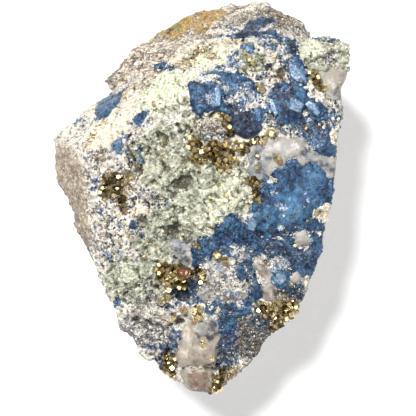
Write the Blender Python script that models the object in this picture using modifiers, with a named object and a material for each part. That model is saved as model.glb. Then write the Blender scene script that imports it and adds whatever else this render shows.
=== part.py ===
"""Afghanite on pyrite: a broken hand specimen of marble, laid on its flat back.

The rock is two blocks grown together, with hollows, lumps and ledges on its display face.
Blue afghanite, white calcite and brass-yellow pyrite are set into that face. Each body of
mineral is its own solid: a column of the rock's skin inside its outline, a little proud
of the rock, in a pocket that leaves GAP all round.
"""

import math
import random

import bmesh
import bpy
from mathutils import Euler, Matrix, Vector, noise
from mathutils.bvhtree import BVHTree

MM = 0.001

# Driving dimensions, in millimetres: the gap round each body, the grid that the skins are made
# on, how far a bed of pyrite lies under the rock's skin and how thick it is at least, and a
# level that is clear of the whole stone
GAP = 0.3
VOXEL = 1.5
BED_DROP = 0.4
BED_DEPTH = 2.2
TOP = 78.0
# Points of a skin lower than this are set down on the base plane
BASE_SNAP = 0.15
# Pyrite crystals are this share of the size listed for them
CRYSTAL_SCALE = 0.88

# The finished specimen is moved by CENTRE, so that the middle of its base is the origin
CENTRE = (1.91, -2.17)

# Outlines are read on the level plane READ_LEVEL. The lines of sight through them meet at EYE,
# so an outline on a lower part of the face is a little larger than it reads.
READ_LEVEL = 60.0
EYE = (2.0, -3.3, 440.0)

# Triangles kept on each skin of the rock
ROCK_TRIANGLES = 1800
BLUE_TRIANGLES = 1650
WHITE_TRIANGLES = 1500

# Waves of the broken rock: length and height
BROAD_WAVE = (13.0, 1.1)
FINE_WAVE = (4.5, 0.5)
WAXY_WAVE = (5.0, 0.35)

# Facets of the broken rock and cleavage faces of the afghanite: width, and slope of the planes
ROCK_FACET = (9.0, 0.55)
CLEAVAGE = (5.0, 0.7)

# The facets' tilts are drawn from this seed, so that every build gives the same stone
FACET_SEED = 7

# How strongly each mineral shows the rock's facets
HOST_FACETS = 0.75
BLUE_FACETS = 0.3
WHITE_FACETS = 0.25

# How far each mineral stands above the rock, and the height of the cleavage facets
BLUE_RISE = 1.0
CLEAVAGE_RISE = 0.9
WHITE_RISE = 0.6

# A hollow or lump fades out at this many times its half size
FADE = 1.35

# The near block, in millimetres: rim of the display face, its crown, sides and base
NEAR_BLOCK = [
    (51.0, 53.6, 56), (17.7, 53.3, 60), (4.3, 46.0, 61), (-12.3, 35.3, 60), (-29.2, 23.6, 57),
    (-38.6, 15.7, 54), (-40.2, -0.6, 52), (-39.0, -14.2, 50), (-34.3, -29.9, 46),
    (-28.6, -42.2, 44), (-20.0, -55.3, 42), (-7.8, -64.3, 42), (3.7, -67.9, 42),
    (14.9, -59.1, 42), (28.1, -43.9, 44), (36.6, -31.0, 46), (42.0, -14.2, 50),
    (44.4, 2.8, 53), (45.6, 23.0, 55), (48.2, 43.2, 56),
    (0.0, 20.0, 62.5), (20.0, 30.0, 62), (10.0, -20.0, 58.5), (4.0, -42.0, 53.5),
    (21.0, -36.0, 51), (26.0, 4.0, 59.5), (-16.0, -8.0, 58.5),
    (-54.4, 22.0, 28), (-53.3, 10.5, 25), (-50.4, 0.7, 22), (-44.4, -8.5, 20),
    (-45.8, 29.1, 30), (-37.0, 36.8, 28),
    (46, 50, 20), (44, 20, 20), (41, -10, 20), (34, -32, 20), (24, -46, 20), (12, -58, 20),
    (2, -64, 20), (-10, -60, 20), (-22, -50, 20), (-32, -36, 20), (-38, -20, 20), (-42, -4, 20),
    (-46, 2, -3), (-48, 18, -3), (-38, 32, -3), (36, 52, -3), (42, 40, -3), (41, 15, -3),
    (38, -10, -3), (32, -30, -3), (22, -44, -3), (6, -58, -3), (-6, -58, -3), (-22, -46, -3),
    (-33, -30, -3), (-38, -12, -3),
]

# The block behind the upper edge: outline as seen from above, crest and base
BACK_BLOCK = [
    (-36.0, 42.4, 21), (-31.6, 50.4, 17), (-27.6, 55.8, 15), (-20.6, 61.8, 14),
    (-12.6, 67.0, 14), (-4.4, 70.6, 14), (3.0, 72.0, 15), (12.9, 71.2, 15), (20.4, 72.0, 15),
    (27.8, 69.8, 15), (34.6, 67.0, 15), (38.4, 63.4, 14), (40.2, 58.0, 12),
    (-20, 45, 37), (0, 52, 41), (15, 58, 38), (28, 58, 34), (37, 54, 30),
    (-12, 30, 40), (20, 40, 40),
    (32, 60, -3), (12, 66, -3), (-10, 60, -3), (-24, 48, -3), (-33, 36, -3), (0, 20, -3),
    (36, 40, -3),
]

# Hollows and lumps of the display face: x, y, half width, half height, turn in degrees, height
FACE_RELIEF = [
    (-7, 5, 5.0, 3.2, 10, -4.0), (-16, 16.5, 4.0, 2.0, -25, -3.2), (-13, 20.7, 2.6, 1.5, 20, -2.5),
    (-7, 23, 2.4, 3.2, 0, -3.0), (0.5, 26.6, 4.5, 1.7, 10, -3.0), (9.3, 19.3, 1.8, 2.8, 0, -4.2),
    (18, 19, 3.2, 1.7, 0, -2.8), (21, 43, 2.2, 1.6, 20, -2.2), (26.5, 41.5, 3.4, 1.8, 10, -2.6),
    (-9, -10.5, 3.8, 3.2, 20, -3.6), (-23, 10.5, 2.6, 4.6, 20, -2.6), (16, -10.8, 5.0, 1.4, -12, -2.6),
    (20, -14, 2.2, 2.4, 0, -2.6), (-7.5, -31.5, 3.4, 3.0, 0, -3.6), (18.6, -34, 1.7, 2.4, 0, -3.2),
    (28, -38.5, 3.0, 2.2, 35, -3.0), (-11, -53.5, 3.4, 3.0, 0, -4.2), (3.8, -56.8, 2.4, 1.6, 0, -2.4),
    (-8.5, -41, 3.6, 1.6, 10, -2.6), (-31, 2.5, 4.0, 3.4, 30, -3.2), (-20, -7, 1.7, 1.5, 0, -2.2),
    (36, 26, 6.0, 7.0, 0, -2.6), (8.5, 28, 1.4, 2.6, 20, -2.0), (4, -1.5, 1.2, 3.4, 10, -1.8),
    (-10, 43, 14.0, 1.6, 22, -1.2), (-6, -19, 2.4, 4.0, 0, -1.4),
    (-13, 12, 7.0, 6.0, 0, 2.2), (2, -5, 8.0, 7.0, 0, 2.6), (-11, 33, 10.0, 6.0, 25, 1.6),
    (-27, -25, 9.0, 7.0, 0, 2.2), (9, 4, 6.5, 4.0, 0, 1.6), (12.5, 12, 3.6, 4.0, 0, 1.8),
    (2, 22.5, 5.5, 3.6, 10, 2.2), (38, 48, 8.0, 4.5, 0, 1.6), (-17, 5, 6.0, 4.5, 0, 1.6),
    (20, 48, 5.0, 5.0, 0, 1.2), (-32, 12, 5.0, 4.0, 0, 1.0), (-13.5, -19, 4.0, 4.0, 0, 1.6),
]

# The lower left of the face steps down beyond these two lines, each over its own width
LEDGE_Y = -39.5
LEDGE_X = -9.0
LEDGE_WIDTH_Y = 2.0
LEDGE_WIDTH_X = 4.0
LEDGE_DROP = 2.4

# Lumps of the waxy calcite, read in the same way
CALCITE_RELIEF = [
    (-2.0, -50.5, 8.5, 8.0, 0, 3.6), (1.5, -45, 6.0, 5.0, 0, 1.6), (-1.5, -61, 5.0, 5.0, 0, 2.6),
    (4, -22.5, 2.8, 2.6, 0, 1.8), (1.8, -26, 2.8, 3.0, 0, 1.4), (8.5, -26, 2.6, 3.2, 0, 1.6),
    (7, -31, 3.6, 2.6, 0, 1.8), (12.3, -30.5, 3.2, 3.0, 0, 1.8), (1.5, -31.5, 2.8, 2.2, 0, 1.2),
    (21, 12.5, 6.0, 4.5, 0, 1.6), (28, 16.5, 5.0, 3.0, 0, 1.4), (18, 8.5, 3.0, 2.6, 0, 1.2),
    (33.5, -13.4, 2.6, 2.8, 0, 1.6), (21, -22.5, 3.0, 3.4, 0, 1.4), (22, -31, 2.2, 3.6, 0, 1.6),
    (31.3, -26, 2.0, 2.6, 0, 1.4), (-6.2, -19, 2.8, 3.4, 0, 1.6),
]

# Blue afghanite: name, lowest level of the body, outline
AFGHANITE = [
    ("afghanite_upper_left", 54, [
        (-5, 38), (-2, 40.3), (2, 41.8), (8, 42.2), (13, 41), (16.5, 39.5), (18, 36.7), (20, 33.5),
        (22.2, 30.6), (21.5, 27), (19.3, 25.5), (18.3, 22), (16.3, 20.3), (12.5, 20.7),
        (10.3, 21.6), (10, 25.5), (8.6, 28.5), (6.8, 30), (4.8, 29.9), (1.5, 28.8), (-1.8, 27.3),
        (-3.6, 31), (-3.8, 35)]),
    ("afghanite_upper_right", 49, [
        (22.7, 33.6), (24.5, 38.5), (28.3, 39.2), (31, 37.4), (35, 36.4), (35.3, 33.8),
        (38.5, 32.8), (41.5, 29.5), (43.2, 25), (42.7, 21), (41, 19.3), (46.5, 17.2), (46.5, 13.2),
        (41, 14.7), (38.3, 15.6), (35.5, 18.4), (33, 20.6), (30.5, 23.5), (27.5, 25), (24.7, 27.3),
        (23, 29.5)]),
    ("afghanite_top_ridge", 51, [
        (18, 52.4), (20, 54), (22.5, 54.7), (24.8, 54.5), (26.6, 53.6), (28.4, 52.6), (31, 51.8),
        (31.2, 48.4), (33.8, 45.3), (35.3, 41.5), (34.9, 37.8), (32, 38.6), (29.2, 40), (27.6, 43.5),
        (25.2, 45.5), (23.6, 48.5), (22.8, 51.2)]),
    ("afghanite_right", 47, [
        (17.2, -0.3), (19.2, 3.2), (20.6, 6), (23.5, 8.9), (27, 10.8), (29.6, 13.2), (33, 10.9),
        (35, 10.9), (37.2, 12.2), (41, 8.9), (43, 7.2), (48, 8.8), (48, -1), (42.5, -1),
        (39.5, -2.3), (36.8, -4.3), (36.5, -6.5), (39.8, -9.5), (46, -10), (46, -12.2),
        (36, -11), (30, -10.8), (27.5, -12.8), (22, -13.3), (18.8, -11), (15.2, -10.2),
        (16.3, -7.5), (17.9, -5), (17.5, -2.5)]),
    ("afghanite_lower", 47, [
        (-3.5, -16.5), (0, -14.8), (3.5, -12.5), (6.3, -10), (7.5, -7), (10, -5.6), (12.3, -8),
        (15, -10.5), (18.5, -11.6), (19, -14), (17.8, -17.5), (17, -21), (17, -24), (19.3, -28.5),
        (19, -33), (16.5, -36), (12.9, -36), (12.4, -34.4), (15.2, -33.2), (16, -29), (12.3, -26.8),
        (11, -26.2), (11, -22.3), (7, -20.6), (3.2, -19.4), (0, -21), (-1, -23.3), (-2.8, -22),
        (-4, -19)]),
    ("afghanite_lower_right", 40, [
        (20, -13.8), (27.5, -13.6), (29.5, -11.8), (36, -11.9), (45, -13), (44, -20), (38.5, -26),
        (34, -25.5), (32.5, -27.5), (30.5, -29.2), (27, -29.8), (24.2, -30), (22.8, -27.6),
        (22.6, -22), (21, -19.5), (19.8, -17.5), (19.6, -15)]),
    ("afghanite_strip_beside_tooth", 44, [
        (0.8, -35), (3, -34.2), (6, -35), (8, -34.5), (12, -36.8), (16.5, -36.8), (17, -38),
        (12.5, -39.5), (11, -42), (9.8, -44.5), (11.3, -47), (9, -48.6), (6.5, -48), (6, -45),
        (6.2, -42), (5, -39.4), (2.5, -38.8), (0.8, -38)]),
    ("afghanite_slope_flake", 26, [
        (-35.5, 29), (-34.6, 31.2), (-31.5, 33.8), (-28.5, 34.6), (-26, 36), (-27, 33.3),
        (-29, 30.5), (-30.2, 28.8), (-34.5, 26.8)]),
    ("afghanite_left_upper_grain", 52, [
        (-23.2, 26), (-21.5, 28.4), (-19.5, 29.4), (-17.6, 28.6), (-18.5, 26.8), (-20, 25.3),
        (-21.7, 24.6)]),
    ("afghanite_left_edge_grain", 50, [
        (-30, 17.5), (-28.5, 19.9), (-27, 21), (-25.8, 19.6), (-27, 17.5), (-27.4, 14.8),
        (-29.2, 14.6)]),
    ("afghanite_dark_crystal", 50, [
        (-24.6, -10.4), (-24, -8.2), (-22.4, -7.7), (-21.8, -9.4), (-22.4, -10.4)]),
    ("afghanite_pale_flake", 56, [
        (10.3, 47.8), (10.7, 49.6), (12.8, 50.5), (14, 51.5), (16.6, 51.6), (17.3, 50), (16.6, 48.1),
        (15.2, 47.5), (14, 48), (13.4, 46.6), (12.8, 45.2), (11.9, 46.2)]),
    ("afghanite_little_flake", 56, [
        (8.5, 45.2), (9.1, 46.6), (10.6, 47.2), (11.2, 46), (10.8, 45.1), (9.6, 44.9)]),
    ("afghanite_navy_grain", 56, [
        (8.2, 43.3), (8.6, 44.5), (10.2, 44.6), (11.2, 43.8), (10.8, 43), (9, 42.9)]),
    ("afghanite_back_streak", 33, [
        (3.8, 53.2), (5, 54.5), (9, 54.8), (11.8, 55.4), (13.4, 56.8), (15, 58.4), (16.4, 59.6),
        (18.5, 60.4), (21, 60.5), (23.7, 60), (25.4, 59), (26.3, 57.8), (24.4, 57.3), (22.2, 57.1),
        (20.4, 56.7), (19.4, 55.9), (20.8, 55.6), (22.2, 56), (23.8, 56.2), (25.4, 55.6),
        (26.6, 54.4), (25, 53.8), (15, 53.3), (10, 52.9)]),
]

# Crystal plates on the afghanite: name of the body, then corners as x, y and rise above the rock
PLATES = [
    ("afghanite_upper_right", [
        (29.0, 29.7, 1.6), (31.0, 33.1, 4.2), (34.0, 31.2, 3.8), (32.6, 28.2, 1.4)]),
    ("afghanite_upper_right", [
        (34.2, 31.2, 1.8), (35.6, 32.4, 3.6), (37.2, 31.4, 4.0), (39.2, 28.4, 3.2),
        (38.4, 27.3, 1.4), (35.6, 29.2, 1.2)]),
    ("afghanite_upper_right", [
        (33.0, 28.0, 1.8), (34.6, 28.4, 2.6), (37.0, 26.2, 3.0), (36.6, 24.6, 2.4), (34.5, 25.0, 1.6)]),
    ("afghanite_top_ridge", [
        (28.4, 45.2, 3.0), (31.0, 44.6, 2.2), (34.8, 39.8, 2.0), (34.6, 38.2, 3.0),
        (31.5, 39.1, 3.6), (29.5, 40.4, 3.4)]),
    ("afghanite_upper_left", [
        (-4.6, 37.8, 1.4), (-2.0, 39.9, 1.8), (5.4, 39.5, 2.8), (6.0, 32.0, 3.2), (5.2, 30.3, 3.0),
        (1.6, 29.2, 2.2), (-1.6, 27.8, 2.0), (-3.4, 31.0, 1.6)]),
    ("afghanite_upper_left", [
        (10.8, 22.0, 2.6), (10.4, 26.0, 3.0), (9.2, 28.6, 2.4), (14.0, 30.0, 1.8), (19.0, 26.0, 2.2),
        (17.8, 22.4, 2.8), (15.6, 20.9, 2.6)]),
    ("afghanite_lower", [
        (-2.6, -17.2, 2.0), (1.0, -15.6, 2.6), (5.6, -16.4, 2.6), (4.6, -19.2, 2.0), (-0.6, -20.6, 2.4)]),
    ("afghanite_lower_right", [
        (23.2, -28.6, 1.6), (24.8, -25.2, 3.0), (27.6, -24.6, 3.4), (28.0, -27.4, 2.2), (26.0, -29.2, 1.4)]),
]

# White and grey calcite, in the same form
CALCITE = [
    ("calcite_grain_right", 46, [
        (31.2, -12.6), (32.5, -11.6), (34, -11.6), (35.9, -13.3), (35, -15.5), (33, -15.9),
        (31.5, -14.5)]),
    ("calcite_grain_middle", 47, [
        (17.3, -20.8), (19, -21), (20.5, -20.2), (22.3, -20.5), (22.6, -22.5), (22.2, -24.5),
        (22.6, -25.8), (21.3, -27), (20.2, -25.5), (19, -24), (17.3, -22.5)]),
    ("calcite_grain_low", 44, [
        (20.8, -29), (22, -27.6), (23, -29), (23.8, -30.5), (23.8, -32.5), (23.5, -34.3),
        (21.5, -34.8), (20.2, -34), (20.2, -31)]),
    ("calcite_grain_lower_right", 42, [
        (29.8, -24.5), (31, -24), (32.5, -23.5), (32.9, -25.5), (32.2, -27.3), (30.5, -28.3),
        (29.6, -27)]),
    ("calcite_round_grains", 46, [
        (0.3, -22), (3.2, -20.2), (6.5, -21.2), (10, -22.6), (10.5, -26.2), (12, -27.3),
        (15.5, -29), (14.6, -33), (10.5, -34), (7, -33.2), (3.5, -33.2), (-0.5, -33),
        (-1.5, -31.5), (0.5, -29), (0, -26)]),
    ("calcite_left_grain", 50, [
        (-8.5, -17.2), (-7.5, -15.4), (-5.5, -15.8), (-4.3, -18), (-4.3, -20.5), (-5, -22),
        (-7, -22), (-8.2, -20)]),
    ("calcite_tooth", 40, [
        (-4.5, -41.4), (-5.8, -42.5), (-6.6, -44.8), (-6.8, -47), (-7.6, -50), (-8.7, -52),
        (-8.5, -54.5), (-6.5, -56.8), (-4, -57.6), (0, -56.9), (3, -55.2), (4.5, -53),
        (4.3, -50), (5.4, -47.3), (5.6, -45), (5.3, -42), (4.5, -39.8), (1.5, -39.8),
        (-0.5, -41.8), (-3, -42.3)]),
    ("calcite_tip", 34, [
        (-6.8, -58), (-5.8, -60.5), (-5, -66), (1, -69), (3, -66), (2.6, -62.5), (3.2, -60),
        (3, -57.6), (1.5, -56.6), (-4, -58)]),
    ("calcite_vein", 50, [
        (16.9, 17.4), (20, 17.9), (23.5, 18.6), (25.5, 19.8), (28, 20), (31, 20.2), (34.5, 18.9),
        (35.8, 17.3), (37.4, 15.6), (39.5, 14.7), (42, 13.3), (46.5, 12), (46.5, 8.2), (43, 7.5),
        (41, 9.3), (38.5, 11.3), (37.1, 12.6), (35, 11.5), (33.5, 11.1), (32.8, 12), (29.8, 13.9),
        (27, 11.2), (23.5, 9.3), (21.5, 8), (20, 6.3), (18, 5.8), (16.2, 7), (15.5, 9), (16, 13.5)]),
    ("calcite_corner_wedge", 48, [
        (38.7, 40.2), (40.5, 41.8), (44, 42.2), (50, 42), (50, 32), (44.5, 32.6), (42.3, 34.8),
        (40.6, 38.2)]),
]

# Pyrite clusters: name, outline of the bed, crystals as x, y, half size and kind
CUBE = "cube"
DODECAHEDRON = "dodecahedron"
PYRITE = [
    ("pyrite_centre", [
        (-4.9, 19.5), (-3, 22), (-0.6, 18.2), (4, 17.8), (7, 18.4), (10.8, 15), (9.9, 10),
        (7, 8.6), (4.6, 11.5), (3.8, 14.2), (0, 13.6), (-1.6, 11.4), (-3.8, 16)],
     [(8.9, 14.2, 1.7, CUBE), (5.7, 16.4, 1.5, DODECAHEDRON), (6.1, 13.6, 1.4, CUBE),
      (6.6, 10.8, 1.4, DODECAHEDRON), (8.3, 10.4, 1.1, CUBE), (-2.4, 17.2, 1.3, DODECAHEDRON),
      (-1.6, 14.2, 1.2, CUBE), (1.4, 15.8, 1.0, CUBE), (3.8, 15.8, 1.0, CUBE),
      (-3.2, 20.1, 1.1, CUBE)]),
    ("pyrite_seam_upper", [
        (5.2, 29), (6.8, 29.2), (9.5, 25.2), (9.8, 21.9), (8.7, 20.8), (7.6, 24), (5.9, 26)],
     [(6.4, 27.7, 1.0, CUBE), (7.5, 25.5, 0.8, CUBE), (9.0, 23.2, 0.9, CUBE)]),
    ("pyrite_seam_middle", [
        (10.3, 18.2), (12, 17.9), (15.2, 20.1), (16.6, 19.8), (16.2, 15), (15.3, 14), (13, 15.8),
        (10.6, 16.6)],
     [(15.2, 18.6, 1.2, CUBE), (13.2, 17.2, 1.1, CUBE), (15.2, 15.7, 1.0, CUBE)]),
    ("pyrite_upper_pair", [
        (19, 18.2), (21.3, 22.8), (23, 23.2), (23.9, 21.6), (21.3, 17.6), (19.8, 16.9)],
     [(22.3, 21.6, 1.3, DODECAHEDRON), (20.3, 18.4, 1.2, CUBE)]),
    ("pyrite_left_hollow", [
        (-34.4, 1.5), (-33.4, 5), (-31, 8), (-24, 8), (-23.8, 6), (-26.4, 4), (-24.6, -3.2),
        (-27, -3.4), (-28.2, -0.6), (-31.2, -0.6)],
     [(-32.0, 3.2, 1.4, DODECAHEDRON), (-29.2, 1.0, 1.2, CUBE), (-28.3, 4.4, 1.1, CUBE),
      (-25.2, 6.8, 1.1, CUBE), (-26.0, -2.0, 1.2, CUBE), (-31.0, 6.3, 1.0, CUBE)]),
    ("pyrite_lower_left", [
        (-15.5, -23), (-13.6, -21.4), (-6.6, -22.4), (-0.6, -24), (1.8, -27.6), (0.4, -29),
        (-4.4, -27.8), (-6, -30), (-9, -29.4), (-14.6, -27.6)],
     [(-6.5, -25.5, 2.7, DODECAHEDRON), (-13.5, -23.3, 1.5, DODECAHEDRON),
      (-11.3, -24.4, 1.3, CUBE), (-13.2, -26.0, 1.3, CUBE), (-10.5, -27.2, 1.4, CUBE),
      (-7.3, -28.2, 1.5, CUBE), (-3.0, -26.0, 1.2, CUBE), (-0.8, -25.6, 1.1, CUBE)]),
    ("pyrite_drop", [
        (-12.2, -30.4), (-11, -29.8), (-9.8, -30.6), (-9.8, -34), (-11.8, -34)],
     [(-11.0, -31.0, 0.9, CUBE), (-10.8, -32.6, 1.1, CUBE)]),
    ("pyrite_golden_pair", [
        (-3.6, -37.6), (-2.6, -35.2), (-0.6, -35.2), (0.2, -39.4), (-0.8, -41.4), (-3.6, -41.2)],
     [(-1.7, -36.9, 1.5, DODECAHEDRON), (-1.8, -39.5, 1.4, CUBE)]),
    ("pyrite_right_edge", [
        (18.4, -35.3), (24, -35.6), (26, -34), (29, -34), (34, -36), (30, -43), (26, -46),
        (22.6, -43.4), (24.6, -39.4), (20.4, -39)],
     [(28.7, -36.3, 1.5, CUBE), (25.4, -37.0, 1.3, CUBE), (20.8, -37.4, 1.1, CUBE),
      (25.8, -41.2, 1.5, CUBE), (28.6, -39.2, 1.2, DODECAHEDRON)]),
    ("pyrite_tip", [
        (3.2, -60.5), (5, -58.3), (8.4, -57.8), (7, -62), (6.4, -67), (3.6, -67)],
     [(5.2, -60.0, 1.3, CUBE), (4.6, -62.9, 1.1, CUBE)]),
    ("pyrite_pair_in_blue", [
        (3.4, -17.4), (4.8, -16.8), (9.3, -20.4), (8.4, -22.4), (6.6, -21.8), (4.2, -20.4)],
     [(4.9, -18.7, 1.5, CUBE), (7.7, -20.7, 1.3, DODECAHEDRON)]),
    ("pyrite_bottom_left", [
        (-11.6, -50.8), (-9.2, -52.2), (-9.2, -57), (-11, -61), (-14.8, -61.5), (-12.6, -55)],
     [(-10.5, -53.2, 1.1, CUBE), (-11.6, -57.4, 1.2, CUBE)]),
    ("pyrite_corner_seam", [
        (36.0, 40.6), (37.4, 42.4), (42.3, 34.6), (41.2, 34.0), (38.4, 36.8)],
     [(37.4, 40.9, 0.9, CUBE), (39.2, 38.0, 1.0, CUBE), (40.7, 36.0, 0.8, CUBE)]),
    ("pyrite_middle_right", [
        (14.4, 6.6), (18.4, 6), (19.6, 5), (18.4, 2.4), (20.6, -0.8), (19.0, -1.3), (16.0, 0.6),
        (16.6, 3.6)],
     [(18.4, 4.8, 1.0, CUBE), (19.0, -0.1, 1.0, CUBE), (17.6, 1.8, 1.1, CUBE)]),
    ("pyrite_top_single", [
        (18.3, 36.4), (19.4, 37.4), (21.2, 36.4), (21.2, 34.8), (19.6, 34.6)],
     [(19.9, 35.9, 1.2, CUBE)]),
    ("pyrite_vein_single", [
        (23.8, 14), (25.4, 14.2), (26.4, 12.8), (26.2, 11.6), (24.6, 11.8)],
     [(25.2, 12.9, 1.3, DODECAHEDRON)]),
    ("pyrite_ball_in_calcite", [
        (-1.4, -47.6), (0, -46.8), (1.4, -47.6), (1.4, -49), (0, -49.8), (-1.4, -49)],
     [(0.0, -48.3, 1.3, DODECAHEDRON)]),
]

COLOURS = {
    "rock": ((0.72, 0.70, 0.62), 0.85, 0.0),
    "afghanite": ((0.10, 0.22, 0.45), 0.35, 0.0),
    "calcite": ((0.78, 0.74, 0.69), 0.40, 0.0),
    "pyrite": ((0.66, 0.52, 0.26), 0.30, 1.0),
}


def clear_scene():
    for old in list(bpy.data.objects):
        bpy.data.objects.remove(old, do_unlink=True)


def new_collection(name):
    group = bpy.data.collections.new(name)
    bpy.context.scene.collection.children.link(group)
    return group


def material(name):
    colour, roughness, metallic = COLOURS[name]
    made = bpy.data.materials.new(name)
    made.use_nodes = True
    shader = made.node_tree.nodes["Principled BSDF"]
    shader.inputs["Base Color"].default_value = (*colour, 1.0)
    shader.inputs["Roughness"].default_value = roughness
    shader.inputs["Metallic"].default_value = metallic
    return made


def real_place(x, y, z):
    """The point of the line of sight through (x, y) that lies at height z, in metres."""
    spread = (EYE[2] - z) / (EYE[2] - READ_LEVEL)
    return Vector((EYE[0] + (x - EYE[0]) * spread, EYE[1] + (y - EYE[1]) * spread, z)) * MM


def read_place(point):
    """Where a point in metres reads on the level plane, in millimetres."""
    spread = (EYE[2] - READ_LEVEL) / (EYE[2] - point.z / MM)
    return (EYE[0] + (point.x / MM - EYE[0]) * spread, EYE[1] + (point.y / MM - EYE[1]) * spread)


def object_from(shape, name, group):
    mesh = bpy.data.meshes.new(name)
    bmesh.ops.recalc_face_normals(shape, faces=shape.faces)
    shape.to_mesh(mesh)
    shape.free()
    made = bpy.data.objects.new(name, mesh)
    group.objects.link(made)
    return made


def copy_of(source, name, group):
    made = bpy.data.objects.new(name, source.data.copy())
    group.objects.link(made)
    return made


def apply_modifier(target, kind, **settings):
    changed = target.modifiers.new(kind.title(), kind)
    for key, value in settings.items():
        setattr(changed, key, value)
    with bpy.context.temp_override(object=target, active_object=target):
        bpy.ops.object.modifier_apply(modifier=changed.name)


def combine(target, others, operation):
    """Joins all the others to the target, cuts them away, or keeps what they share with it."""
    group = bpy.data.collections.new("operands")
    for other in others:
        group.objects.link(other)
    if others:
        apply_modifier(target, "BOOLEAN", operation=operation, operand_type="COLLECTION",
                       collection=group, solver="EXACT")
    bpy.data.collections.remove(group)


def block(name, points, group):
    """The convex block around points in millimetres."""
    shape = bmesh.new()
    for x, y, z in points:
        shape.verts.new(Vector((x, y, z)) * MM)
    made = bmesh.ops.convex_hull(shape, input=shape.verts)
    bmesh.ops.delete(shape, geom=list({*made["geom_interior"], *made["geom_unused"]}), context="VERTS")
    return object_from(shape, name, group)


def swell(across, along):
    """A soft mound: 1 at its middle, 0 at its edge and beyond."""
    return max(0.0, 1.0 - across * across - along * along) ** 1.5


def relief_at(read, features):
    height = 0.0
    for x, y, half_width, half_height, turn, lift in features:
        dx, dy = read[0] - x, read[1] - y
        if math.hypot(dx, dy) > FADE * max(half_width, half_height):
            continue
        c, s = math.cos(math.radians(turn)), math.sin(math.radians(turn))
        height += lift * swell((dx * c + dy * s) / (half_width * FADE),
                               (dy * c - dx * s) / (half_height * FADE))
    return height


def wave(point, size):
    length, height = size
    return height * noise.noise(point / (length * MM))


def broken_facets(point, size):
    """Flat facets with steps between them: each Voronoi cell is a tilted plane."""
    cell, tilt = size
    place = point / (cell * MM)
    middle = noise.voronoi(place)[1][0]
    # The two factors only pick unlike values of the noise for lean and for step
    lean = noise.noise_vector(middle * 7.31)
    step = noise.noise(middle * 3.7)
    return cell * tilt * (place - middle).dot(lean) + step


def smooth_step(value):
    value = min(1.0, max(0.0, value))
    return value * value * (3 - 2 * value)


def facing_up(normal):
    """1 on the display face, 0 on the sides, and a soft change between 60 and 80 degrees of slope."""
    return smooth_step((normal.z - 0.15) / 0.4)


def face_lift(point, normal, facets):
    """How far the rock's skin stands out at a point, in millimetres."""
    x, y = read_place(point)
    ledge = smooth_step((LEDGE_Y - y) / LEDGE_WIDTH_Y) * smooth_step((LEDGE_X - x) / LEDGE_WIDTH_X)
    relief = relief_at((x, y), FACE_RELIEF) - LEDGE_DROP * ledge
    broken = wave(point, BROAD_WAVE) + wave(point, FINE_WAVE) + facets * broken_facets(point, ROCK_FACET)
    return broken + facing_up(normal) * relief


def afghanite_lift(point, normal):
    """Blocky cleavage faces, proud of the rock on the display face and level with it at the sides."""
    proud = BLUE_RISE + CLEAVAGE_RISE * broken_facets(point, CLEAVAGE)
    return face_lift(point, normal, BLUE_FACETS) + facing_up(normal) * proud


def calcite_lift(point, normal):
    """Rounded waxy lumps, proud of the rock."""
    proud = WHITE_RISE + relief_at(read_place(point), CALCITE_RELIEF)
    return face_lift(point, normal, WHITE_FACETS) + facing_up(normal) * proud + wave(point, WAXY_WAVE)


def skin(source, name, lift, triangles, group):
    """A copy of the smooth rock with every point moved out by lift(point, normal)."""
    made = copy_of(source, name, group)
    mesh = made.data
    moved = [v.co + v.normal * MM * lift(v.co, v.normal) for v in mesh.vertices]
    for vertex, place in zip(mesh.vertices, moved):
        vertex.co = place
    apply_modifier(made, "REMESH", mode="VOXEL", voxel_size=VOXEL * MM)
    shape = bmesh.new()
    shape.from_mesh(mesh)
    cut = bmesh.ops.bisect_plane(shape, geom=[*shape.verts, *shape.edges, *shape.faces],
                                 plane_co=(0, 0, 0), plane_no=(0, 0, -1), clear_outer=True)
    edges = [part for part in cut["geom_cut"] if isinstance(part, bmesh.types.BMEdge)]
    bmesh.ops.holes_fill(shape, edges=edges)
    bmesh.ops.triangulate(shape, faces=shape.faces)
    shape.to_mesh(mesh)
    shape.free()
    apply_modifier(made, "DECIMATE", ratio=triangles / len(mesh.polygons))
    for vertex in mesh.vertices:
        if vertex.co.z < BASE_SNAP * MM:
            vertex.co.z = 0.0
    return made


def turned_left(outline):
    area = sum(a[0] * b[1] - b[0] * a[1] for a, b in zip(outline, outline[1:] + outline[:1]))
    return outline if area > 0 else outline[::-1]


def grown(outline, gap):
    """The outline moved outwards by gap, with its corners mitred."""
    outline = turned_left(outline)
    made = []
    for before, here, after in zip(outline[-1:] + outline[:-1], outline, outline[1:] + outline[:1]):
        into = (Vector(here) - Vector(before)).normalized()
        away = (Vector(after) - Vector(here)).normalized()
        out = Vector((into.y + away.y, -into.x - away.x)).normalized()
        # A mitre is at most twice the gap, so that a sharp corner doesn't run out to a spike
        square = max(0.5, out.dot(Vector((into.y, -into.x))))
        made.append(tuple(Vector(here) + out * gap / square))
    return made


def column(name, outline, low, group):
    """The solid of all lines of sight inside the outline, from height low up."""
    shape = bmesh.new()
    foot = [shape.verts.new(real_place(x, y, low)) for x, y in turned_left(outline)]
    base = shape.faces.new(foot)
    lid = bmesh.ops.extrude_face_region(shape, geom=[base])["geom"]
    heads = [part for part in lid if isinstance(part, bmesh.types.BMVert)]
    for vertex in heads:
        vertex.co = real_place(*read_place(vertex.co), TOP)
    bmesh.ops.triangulate(shape, faces=[face for face in shape.faces if len(face.verts) > 4])
    return object_from(shape, name, group)


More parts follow.
